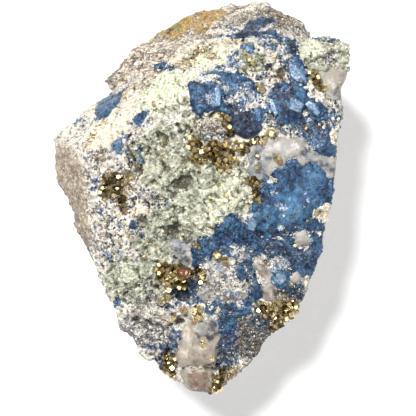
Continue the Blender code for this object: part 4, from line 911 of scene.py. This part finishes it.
def blue_lift(points):
    """Relief of the afghanite: flat splinters, and fine crystals where it isn't glassy."""
    sugary = 1 - 0.8 * blobs(seen(points), GLASSY)
    bent = points + 0.6 * wave_vectors(points, 1.8, 5.7)
    rough = 0.20 * waves(points, 1.5, 5.1) + 0.16 * waves(points, 0.7, 9.7)
    splinters = 0.7 * facets(bent, 3.4, 0.36, 31.7) + 0.9 * facets(bent, 1.6, 0.42, 17.9)
    return (0.22 + 0.78 * sugary) * splinters + sugary * (rough + 0.7 * (0.45 - cells(bent, 1.7, 23.3)[0]))


def white_lift(points):
    """Relief of the waxy calcite: soft waves and a few flat breaks; the round grains are sugary."""
    grains = blobs(seen(points), [(8, -27, 9, 8, 0, 1)])
    lumps = grains * (1.9 * (0.45 - cells(points, 2.8, 27.1)[0]) + 0.4 * waves(points, 0.9, 9.1))
    groove = -1.4 * blobs(seen(points + 0.6 * wave_vectors(points, 2.0)), [(-1, -56.7, 7, 0.9, 4, 1)])
    waxy = 0.35 * waves(points, 3.4) + 0.12 * waves(points, 1.3, 5.1) + 0.4 * facets(points, 4.0, 0.25, 7.7)
    return waxy + lumps + groove


# Build

ROCK = rock_finish()
BLUE = afghanite_finish()
WHITE = calcite_finish()
GOLD = pyrite_finish()

net = fine_surface()
swelling = sum(amount * blobs(seen(net.points), [(*spot, 1)]) for *spot, amount in SWELLS)
swelling = swelling * step(net.points[:, 2], 0.5, 6.0)
net.points += net.normals(net.spread(net.points, 20)) * swelling[:, None]
single_spots = [(*seen(np.array([middle_of(name)]))[0], 2.6, 2.6, 0, 1) for name in SINGLES]
filled = blobs(seen(net.points), single_spots) * step(net.points[:, 2], 12.0, 20.0)
net.points += filled[:, None] * (net.spread(net.points, 60) - net.points)
base_normals = net.normals(net.spread(net.points, 4))
warped = net.points + 1.3 * wave_vectors(net.points, 4.4) + 0.9 * wave_vectors(net.points, 2.0)
warped += 0.4 * wave_vectors(net.points, 1.0)
names, owner = owners_of(mosaic(warped, 1.0, 3.1), SINGLES)
bare_spots = blobs(seen(mosaic(warped, 0.9, 6.7)), ROCK_ISLANDS) > 0.5
owner[bare_spots] = names.index("host_rock")
painted = seen(mosaic(net.points + 0.4 * wave_vectors(net.points, 1.2), 0.6, 2.9))
for name, outline in OUTLINES:
    owner[inside(painted, outline) & (net.points[:, 2] > 8)] = names.index(name)
slots = {name: ("rock" if name == "host_rock" else name.split("_")[0]) for name in names}
zones = zone_weights(net.points)
zones["band"] = blobs(seen(net.points) + 1.3 * wave_vectors(net.points, 4.0)[:, :2], BANDED)
zones["pit"] = blobs(seen(net.points + 3.0 * wave_vectors(net.points, 4.6) + 1.8 * wave_vectors(net.points, 1.8)),
                     PITS)
zones["side"] = blobs(seen(net.points) + 1.3 * wave_vectors(net.points, 4.0)[:, :2], SHADED)
standing = step(net.points[:, 2], 0.3, 3.0)

shares = {}
for index, name in enumerate(names):
    if name != "host_rock":
        shares[name] = net.spread(owner == index, 3)
taken = np.clip(sum(shares.values()), 0, 1)
fray = 0.20 * waves(net.points, 1.3, 61.3) + 0.12 * waves(net.points, 0.7, 67.9)

blue_share = np.clip(sum(shares[name] for name in names if slots[name] == "afghanite"), 0, 1)
near_blue = np.clip(1.8 * net.spread(blue_share, 16), 0, 1) * (0.45 + 0.6 * waves(net.points, 2.4, 77.7))
zones["blue"] = np.maximum(zones["blue"], 0.55 * near_blue)
lift = rock_lift(net.points, zones)
rock_points = net.points + base_normals * (standing * (lift - DIVE * step(taken + fray, 0.42, 0.85)))[:, None]
rock_points[:, 2] = rock_points[:, 2].clip(0.0)
rock_normals = net.normals(rock_points)
# Painted shade: the weight that darkens the rock in crevices, broad dips and the pits.
hollow = np.clip(hollow_at(net, rock_points, rock_normals)
                 + 0.8 * zones["pit"] * step(waves(net.points, 1.8, 45.1), -0.15, 0.25), 0, 1)
tone = 0.5 + 0.35 * waves(net.points, 1.2, 41.3)
piece_from("host_rock_surface", rock_points, net.faces, ROCK, "rock", ["host_rock"], smooth=True,
           attributes=rock_attributes(zones, hollow, tone))


def body_piece(name, lift, material, attributes):
    """A mineral body: the skin inside its outline, with an underside, its rim under the rock."""
    share = shares[name]
    inside = (share[net.faces].max(1) > 0.06)
    faces = net.faces[inside]
    used, faces = np.unique(faces, return_inverse=True)
    faces = faces.reshape(-1, 3)
    edge_count = {}
    pairs = np.concatenate([faces[:, [0, 1]], faces[:, [1, 2]], faces[:, [2, 0]]])
    ordered = np.sort(pairs, axis=1)
    _, back, count = np.unique(ordered, axis=0, return_inverse=True, return_counts=True)
    rim = pairs[count[back.ravel()] == 1]
    points, normals, part = net.points[used], base_normals[used], share[used]
    frayed = part + fray[used] * step(part, 0.05, 0.3)
    top = points + normals * (lift(points) - DIVE * step(0.58 - frayed, 0.0, 0.42))[:, None]
    under = points - normals * (UNDERSIDE * step(part, 0.06, 0.6) + DIVE + 0.3)[:, None]
    size = len(used)
    walls = np.concatenate([np.stack([rim[:, 1], rim[:, 0], rim[:, 0] + size], 1),
                            np.stack([rim[:, 1], rim[:, 0] + size, rim[:, 1] + size], 1)])
    whole = np.concatenate([faces, faces[:, ::-1] + size, walls])
    both = np.concatenate([top, under])
    both[:, 2] = both[:, 2].clip(0.0)
    sub = Net(top, faces)
    made = attributes(points)
    # Painted shade: the body's crevices are darkened by this weight.
    made["hollow"] = hollow_at(sub, top, sub.normals())
    made["edge"] = 1 - step(net.spread(share, 14)[used], 0.42, 0.90)
    doubled = {key: np.concatenate([values, values]) for key, values in made.items()}
    return piece_from(name + "_body", both, whole, material, slots[name], [name], True, doubled)


def triangles_of(mesh):
    """Points in millimetres and triangles of a mesh."""
    mesh.calc_loop_triangles()
    points = np.empty(len(mesh.vertices) * 3, np.float32)
    mesh.vertices.foreach_get("co", points)
    faces = np.empty(len(mesh.loop_triangles) * 3, np.int32)
    mesh.loop_triangles.foreach_get("vertices", faces)
    return points.reshape(-1, 3).astype(float) / MM, faces.reshape(-1, 3)


def cluster_piece(name):
    """The bed of a pyrite cluster, painted in shade: dark brown between the crystals that stand on it."""
    mesh = remeshed(joined_shape([NODES[name]], 0.05), 0.30)
    points, faces = triangles_of(mesh)
    bpy.data.meshes.remove(mesh)
    cluster = Net(points, faces)
    smooth = cluster.spread(points, 1)
    normals = cluster.normals(smooth)
    # Painted shade: the bed is at least three quarters dark all over, and darker still in its crevices.
    gaps = 0.75 + hollow_at(cluster, smooth, normals, (5, 0.12), (40, 0.5))
    shown = smooth - normals * 0.15
    shown[:, 2] = shown[:, 2].clip(0.0)
    return piece_from(name + "_bed", shown, faces, GOLD, "pyrite", [name],
                      attributes={"hollow": gaps.clip(0, 1), "tone": 0.4 + 0.4 * waves(smooth, 1.1, 3.3)})


def blue_attributes(points):
    return {"blues": weights(points, BLUES, ("navy", "light", "white")), "kinds": kinds_at(points),
            "tone": 0.5 + 0.45 * waves(points, 1.6, 13.1)}


def white_attributes(points):
    return {"whites": weights(points, WHITES, ("grey", "rosy", "white")),
            "sugary": blobs(seen(points), [(7, -27.5, 9, 7.5, 0, 1)]),
            "warm": blobs(seen(points), [(-2, -52, 9, 12, 0, 1), (44, 39, 4, 5, 0, 0.6)]),
            "tone": 0.5 + 0.3 * waves(points, 1.6, 13.1)}


rng = np.random.default_rng(11)
GRAINS = grain_shapes(rng)
CRYSTALS = pyrite_shapes()


def grain_piece(name, count, density, size, sink, material, slot, attributes, shapes=None, points=None, apart=0,
                stretch=0.25):
    """Small crystals grown on the skin: size is from and to, in millimetres, and sink how deep they sit."""
    points = rock_points if points is None else points
    corners, share = spots_on(rng, points, net.faces, density, count)
    places = (points[corners] * share[:, :, None]).sum(1)
    sizes = size[0] + (size[1] - size[0]) * rng.random(count) ** 2
    if apart:
        kept = []
        for index in np.argsort(-sizes):
            near = np.linalg.norm(places[kept] - places[index], axis=1)
            if not len(kept) or (near > apart * (sizes[kept] + sizes[index])).all():
                kept.append(index)
        corners, share, places, sizes = corners[kept], share[kept], places[kept], sizes[kept]
        count = len(kept)
    out = (rock_normals[corners] * share[:, :, None]).sum(1)
    places = places - out * (sizes * rng.uniform(sink[0], sink[1], count))[:, None]
    made, faces, origin = scatter(rng, shapes or GRAINS, places, sizes, stretch)
    values = {key: found[corners[:, 0]][origin] for key, found in attributes.items()}
    values["tone"] = rng.random(count)[origin]
    return piece_from(name, made, faces, material, slot, attributes=values)


visible = step(rock_normals[:, 2], 0.05, 0.35) * step(net.points[:, 2], 12.0, 20.0)
bare = visible * (1 - step(taken, 0.3, 0.6))
# The grains carry the rock's painted shade in crevices and dips, a little weaker.
rock_values = rock_attributes(zones, hollow * 0.85, tone)
open_skin = 1 - 0.3 * hollow
grain_piece("sugary_diopside_grains", 11500, bare * open_skin * (0.08 + zones["green"]), (0.20, 0.62),
            (0.0, 0.6), ROCK, "rock", rock_values)
grain_piece("white_marble_grains", 7000, bare * open_skin * (0.10 + zones["speckle"] + 0.4 * zones["cream"]
            + 0.8 * zones["grey"] + 0.5 * zones["band"]), (0.2, 0.55), (0.1, 0.7), ROCK, "rock", rock_values)

clustered = step(waves(net.points, 4.0, 55.1), 0.0, 0.35)
NAVY_SPOTS = [(-15.5, -1.5, 4.0, 2.4, 0, 1), (-23, -8.7, 1.2, 1.2, 0, 1), (-20.7, -11.5, 1.4, 1.1, 0, 1),
              (-30.7, -12.7, 1.3, 1.0, 0, 1), (-14, -6, 1.1, 1.1, 0, 1), (-22, 17.2, 2.2, 1.0, 0, 1),
              (-23.5, 12, 1.5, 1.2, 0, 1), (-24, -3.5, 1.6, 1.0, 0, 0.7), (-12.5, -36, 1.4, 1.2, 0, 0.7),
              (-8.9, -19.5, 0.9, 1.9, 0, 1), (-14.5, -12.8, 1.1, 0.9, 0, 1), (-6, -31, 3.6, 2.6, 0, 0.8), (-2.5, -28, 1.8, 2, 0, 0.7),
              (30, -30, 4, 3, 0, 0.5)]
blue_near = net.spread(blue_share, 24) * (1 - taken)
left_edge = step(-seen(net.points)[:, 0], 29.0, 33.0)
grain_blues = np.stack([1 - left_edge, left_edge, 0 * tone], 1)
# These grains take a weak painted shade from the rock's crevices.
grain_piece("navy_afghanite_grains", 950, bare * (0.5 * zones["speckle"] * (0.1 + clustered) + 0.8 * zones["blue"]
            + 3.0 * blobs(seen(net.points + 0.8 * wave_vectors(net.points, 1.6)), NAVY_SPOTS)),
            (0.22, 0.70), (0.1, 0.6), BLUE, "afghanite",
            {"blues": grain_blues, "hollow": 0.3 * hollow, "edge": 0 * tone, "kinds": kinds_at(net.points)})
CRYSTALLINE = [(2, -17, 6, 4, 0, 1), (12, -12, 8, 3, 0, 1), (17, -15, 4, 5, 0, 1), (14, -22, 4, 5, 0, 1),
               (25, -22, 6, 6, 0, 1), (34, 24, 6, 6, 0, 0.8), (18, 38, 6, 5, 0, 0.6), (28, 46, 5, 8, 0, 0.8),
               (9, -42, 3, 6, 0, 0.7), (12, 35, 7, 4, 0, 0.4), (23, 4, 4, 5, 0, 0.6), (33, -17, 6, 3, 0, 0.6)]
growing = blobs(seen(net.points), CRYSTALLINE)
grain_piece("small_afghanite_crystals", 2600, visible * step(blue_share, 0.3, 0.7) * (0.05 + growing),
            (0.25, 0.85), (0.2, 0.8), BLUE, "afghanite",
            {"blues": weights(net.points, BLUES, ("navy", "light", "white")), "hollow": 0 * tone,
             "edge": 0.45 * growing, "kinds": kinds_at(net.points)}, points=net.points)
SUGARED = [
    (8, -27, 8, 6.5, 0, 0.25), (3, -22.5, 3, 2.6, 0, 0.7), (6.5, -31, 3, 2, 0, 0.9), (24.5, 46, 2.4, 6, 10, 0.9),
    (13.5, -18, 3, 2.4, 0, 0.9), (18, 31.5, 4.5, 2.4, 20, 0.8), (34.5, 26.5, 2.0, 2.2, 0, 1), (1, 40.2, 4, 1.2, 6, 1),
    (2.5, 33.5, 1.2, 1.0, 0, 0.6), (10.5, 33.4, 2.8, 1.2, 20, 0.9), (12, 35.8, 7, 1.2, -17, 0.5), (29, 22, 3.4, 1.8, 0, 0.7),
    (9, -20, 4, 2, -30, 0.6), (23.5, 6, 1.6, 1.0, 0, 0.5), (28.5, 41.5, 1.4, 3.4, 20, 0.6), (4, -38, 2, 3, 0, 0.5),
    (19, -21, 1.4, 3.4, 0, 0.4), (25, -22, 3.4, 3, 0, 0.5), (27.4, 49.5, 1.6, 4.4, 25, 0.9),
    (21, 53.4, 4, 0.9, 0, 0.7), (29.6, 44.5, 1.4, 4, 30, 0.6)]
sugared = blobs(seen(net.points + 1.5 * wave_vectors(net.points, 3.0)), SUGARED)
sugared *= step(waves(net.points, 2.0, 83.1), -0.1, 0.3)
sugared *= 1 - 0.93 * blobs(seen(net.points), GLASSY)
sugar_share = visible * step(np.clip(sum(shares[name] for name in shares if slots[name] != "pyrite"), 0, 1), 0.3, 0.7)
grain_piece("white_calcite_sugar", 4300, sugar_share * sugared, (0.14, 0.46), (0.1, 0.7), ROCK, "rock",
            {key: 0 * values for key, values in rock_values.items()}, points=net.points)
on_pyrite = np.clip(sum(shares[name] for name in names if slots[name] == "pyrite"), 0, 1)
crowded = step(waves(net.points, 1.5, 91.7), -0.30, 0.0)
DISC_AT = (-6.5, -25.0)
off_disc = 1 - blobs(seen(net.points), [(DISC_AT[0], DISC_AT[1], 3.0, 2.8, 0, 1)])
# Painted shade: the crystals in the recess at the left are darkened.
deep = 0.45 * blobs(seen(net.points), [(-30, 3, 6, 6, 0, 1)])
grain_piece("pyrite_crystals", 5200, step(on_pyrite, 0.25, 0.5) * (0.02 + crowded) * off_disc, (0.50, 0.95),
            (-0.5, 0.1), GOLD, "pyrite", {"hollow": deep}, CRYSTALS, points=net.points, apart=0.90, stretch=0.08)
# These crystals take a weak painted shade from the rock's crevices.
grain_piece("stray_pyrite_crystals", 900, bare * (0.02 + zones["ridge"] * 0.8 + 0.35 * zones["brown"]
            + 0.9 * net.spread(on_pyrite, 50) + 0.1 * clustered * zones["speckle"]),
            (0.15, 0.46), (0.1, 0.7), GOLD, "pyrite", {"hollow": 0.3 * hollow}, CRYSTALS)


# Single small pyrites seen in the photograph: x, y and radius in millimetres
SMALL_PYRITES = [
    (-12, 18.7, 0.8), (8, 1, 0.9), (3, -1, 0.7), (-12.3, -11, 0.7), (-13.2, -3.9, 0.6), (1.2, 16.2, 0.8),
    (34.3, 23.2, 0.7), (38.9, 24.5, 0.6), (-1.9, -16.0, 0.8), (-0.6, -16.4, 0.7), (2.0, -28.5, 0.6),
    (-12, -41, 0.7), (41.7, 25, 0.6), (18.3, 14, 0.8), (18.2, 10.3, 0.8), (3, -53.5, 0.8), (22, -6, 0.5),
    (27.3, -5.8, 0.5), (30.5, -6, 0.4), (30.8, -9.5, 0.4), (32, -4, 0.4), (34, -3, 0.4), (35, -7.5, 0.5),
    (14.5, 41, 0.6), (17, 45, 0.8), (15.6, 46.2, 0.7), (23.5, 51.5, 0.5), (24.5, 47, 0.6), (-16, 31.5, 0.7),
    (0, -48.3, 1.2), (-2.2, -37.4, 1.3), (-0.7, -36.8, 1.2), (-6.3, -37.2, 1.2), (-9.2, -39.3, 1.0), (-1.0, -39.5, 1.15), (-2.6, -40.8, 0.9), (22, -36, 0.8), (-6, 12.5, 0.7), (5.5, 4.5, 0.6), (11.5, 7.8, 0.6), (-1, 8.8, 0.6), (-15.5, -16, 0.6),
    (-13, 13.8, 0.6), (-14.3, 14.4, 0.5), (-18.4, 14.4, 0.5), (-20.5, 10.8, 0.6), (-11.6, 9.8, 0.6), (-19, -19.6, 0.7),
    (-17.9, -14.4, 0.5), (-6.4, -12.2, 0.5), (-24.3, 7, 0.9), (-11.2, -30.6, 1.1), (-11.4, -32.6, 1.2), (-13.6, -34, 0.9),
    (-12.4, -34.4, 0.7), (-2.4, -24.4, 0.5), (0.8, -27.4, 0.5),
    (5.0, -18.7, 1.3), (7.9, -20.8, 1.3), (24.8, 13.4, 1.1), (25.5, 12.3, 0.95), (20.9, -21, 0.6), (28.3, -11.6, 0.5),
    (31, -15.7, 0.6), (29.4, -28.4, 0.7), (28.9, -23.4, 0.6), (22.6, 21.6, 1.2), (20.0, 18.6, 1.2), (20.6, 20.0, 0.8),
    (19.5, 36.2, 1.3), (18, 37.8, 0.6), (9.2, 26.2, 0.9), (9.4, 24, 0.8), (24.5, 47.3, 0.7), (24.5, 38.9, 0.6)]
# Pale afghanite plates that stand out of the blue: their corners, x and y, and how light each is
PALE_PLATES = [
    ([(29.0, 29.7), (31.0, 33.1), (34.0, 31.2), (32.6, 28.2)], 0.7),
    ([(34.2, 31.2), (35.6, 32.4), (37.2, 31.4), (39.2, 28.4), (38.4, 27.3), (35.6, 29.2)], 0.8),
    ([(29.0, 44.6), (31.0, 44.0), (34.8, 39.8), (34.6, 38.2), (31.5, 39.1), (29.7, 40.4)], 0.7),
    ([(24.0, -27.6), (24.8, -25.2), (27.6, -24.6), (28.0, -27.4), (26.0, -29.0)], 0.4),
    ([(4.2, 36.4), (5.4, 37.4), (6.3, 34.4), (6.0, 30.8), (4.8, 30.6)], 0.7),
    ([(22.2, 33.2), (23.4, 33.0), (25.3, 28.2), (24.4, 27.2), (23.0, 29.6)], 0.6),
    ([(14.8, -6.6), (16.8, -6.4), (18.2, -8.8), (17.2, -11.2), (15.4, -10.4)], 0.3)]
whole_tree = BVHTree.FromPolygons(net.points.tolist(), net.faces.tolist())


def skin_place(x, y):
    """The point of the skin that is seen at (x, y), and its normal."""
    eye = Vector((EYE[0] + CENTRE[0], EYE[1] + CENTRE[1], EYE[2]))
    place, normal, _, _ = whole_tree.ray_cast(eye, real_place(x, y, 0.0) - eye)
    return place, normal


def plates_piece():
    """The pale plates, each a flat splinter a little proud of the skin."""
    points, faces, start, tones = [], [], 0, []
    for outline, tone in PALE_PLATES:
        tops = [skin_place(x, y)[0] for x, y in outline]
        middle = sum(tops, Vector()) / len(tops)
        corners = []
        for top in tops:
            out = top + Vector((0, 0, 0.9))
            corners += [out.lerp(middle, 0.12) + Vector((0, 0, 0.35)), out, top - Vector((0, 0, 2.0))]
        found, triangles = hull(corners)
        points.append(found)
        faces.append(triangles + start)
        start += len(found)
        tones += [tone] * len(found)
    points, faces = np.concatenate(points), np.concatenate(faces)
    size = len(points)
    piece_from("pale_afghanite_plates", points, faces, BLUE, "afghanite", attributes={
        "blues": np.tile([0.0, 1.0, 0.60], (size, 1)), "tone": np.array(tones), "hollow": np.zeros(size),
        "edge": np.full(size, 0.35), "kinds": np.tile([0.0, 1.0, 0.6], (size, 1))})


def disc_piece():
    """The big pyrite of the lower left cluster: a low dome with a rusty pit."""
    count = 18
    middle, normal = skin_place(*DISC_AT)
    side = normal.cross(Vector((0, 1, 0))).normalized()
    other = normal.cross(side)
    points, red = [], []
    for radius, height, rust in ((2.9, -0.8, 0), (2.9, 0.5, 0), (2.6, 1.1, 0), (1.9, 1.5, 0), (1.55, 1.0, 1), (0.8, 0.8, 1)):
        for index in range(count):
            turn = 2 * math.pi * index / count
            out = side * math.cos(turn) * 1.1 + other * math.sin(turn) * 0.85
            wobble = 1 + 0.06 * math.cos(3 * turn + 1) + 0.05 * math.cos(5 * turn)
            points.append(middle + out * radius * wobble + normal * height)
            red.append(rust * (0.45 if 0.15 < (turn / math.pi) % 2 < 0.45 else 1.0))
    size = len(points)
    points += [middle - 0.8 * normal, middle + 0.9 * normal]
    red += [0, 0.8]
    faces = []
    for index in range(count):
        after = (index + 1) % count
        faces += [(size, after, index), (size + 1, size - count + index, size - count + after)]
        for low in range(0, size - count, count):
            high = low + count
            faces += [(low + index, low + after, high + after), (low + index, high + after, high + index)]
    piece_from("big_pyrite_disc", np.array(points), np.array(faces), GOLD, "pyrite",
               attributes={"hollow": np.zeros(len(points)), "tone": np.full(len(points), 0.4),
                           "rust": np.array(red, float)})


def small_pyrites_piece():
    found = [skin_place(x, y) for x, y, _ in SMALL_PYRITES]
    sizes = np.array([radius for _, _, radius in SMALL_PYRITES])
    places = np.array([place + 0.6 * row[2] * normal for (place, normal), row in zip(found, SMALL_PYRITES)])
    points, faces, origin = scatter(rng, CRYSTALS, places, sizes, 0.08)
    piece_from("small_single_pyrites", points, faces, GOLD, "pyrite", attributes={
        "hollow": np.zeros(len(points)), "tone": np.maximum(0.4 + 0.6 * rng.random(len(sizes)), sizes > 1.05)[origin]})


plates_piece()
small_pyrites_piece()
disc_piece()
for name in names:
    if slots[name] == "afghanite":
        body_piece(name, blue_lift, BLUE, blue_attributes)
    elif slots[name] == "calcite":
        body_piece(name, white_lift, WHITE, white_attributes)
    elif slots[name] == "pyrite":
        cluster_piece(name)


# Stage, light and camera

floor = bpy.data.meshes.new("floor")
floor.from_pydata([(-2, -2, 0), (2, -2, 0), (2, 2, 0), (-2, 2, 0)], [], [(0, 1, 2, 3)])
floor.materials.append(floor_finish())
floor_object = bpy.data.objects.new("floor", floor)
bpy.context.scene.collection.objects.link(floor_object)


def area_light(name, place, aim, size, power, colour=(1, 1, 1)):
    data = bpy.data.lights.new(name, "AREA")
    data.shape = "DISK"
    data.size = size
    data.energy = power
    data.color = colour
    made = bpy.data.objects.new(name, data)
    bpy.context.scene.collection.objects.link(made)
    made.location = place
    made.rotation_euler = (Vector(aim) - Vector(place)).to_track_quat("-Z", "Y").to_euler()
    return made


area_light("key", (-0.27, 0.42, 0.96), (0, 0, 0.04), 0.26, 16.0)
area_light("front", (0.20, -0.30, 1.1), (0, 0, 0.04), 0.8, 4.4)
area_light("fill", (0.80, -0.30, 0.60), (0, 0, 0.02), 0.9, 2.6)

world = bpy.data.worlds.new("studio")
bpy.context.scene.world = world
world.use_nodes = True
world.node_tree.nodes["Background"].inputs["Color"].default_value = (1, 1, 1, 1)
world.node_tree.nodes["Background"].inputs["Strength"].default_value = 0.26

camera_data = bpy.data.cameras.new("camera")
camera_data.lens = 98.65
camera_data.sensor_width = 36
camera_data.clip_start = 0.01
camera = bpy.data.objects.new("camera", camera_data)
bpy.context.scene.collection.objects.link(camera)
camera.location = Vector((EYE[0] + CENTRE[0], EYE[1] + CENTRE[1], EYE[2])) * MM
bpy.context.scene.camera = camera
bpy.context.scene.view_settings.view_transform = "Standard"
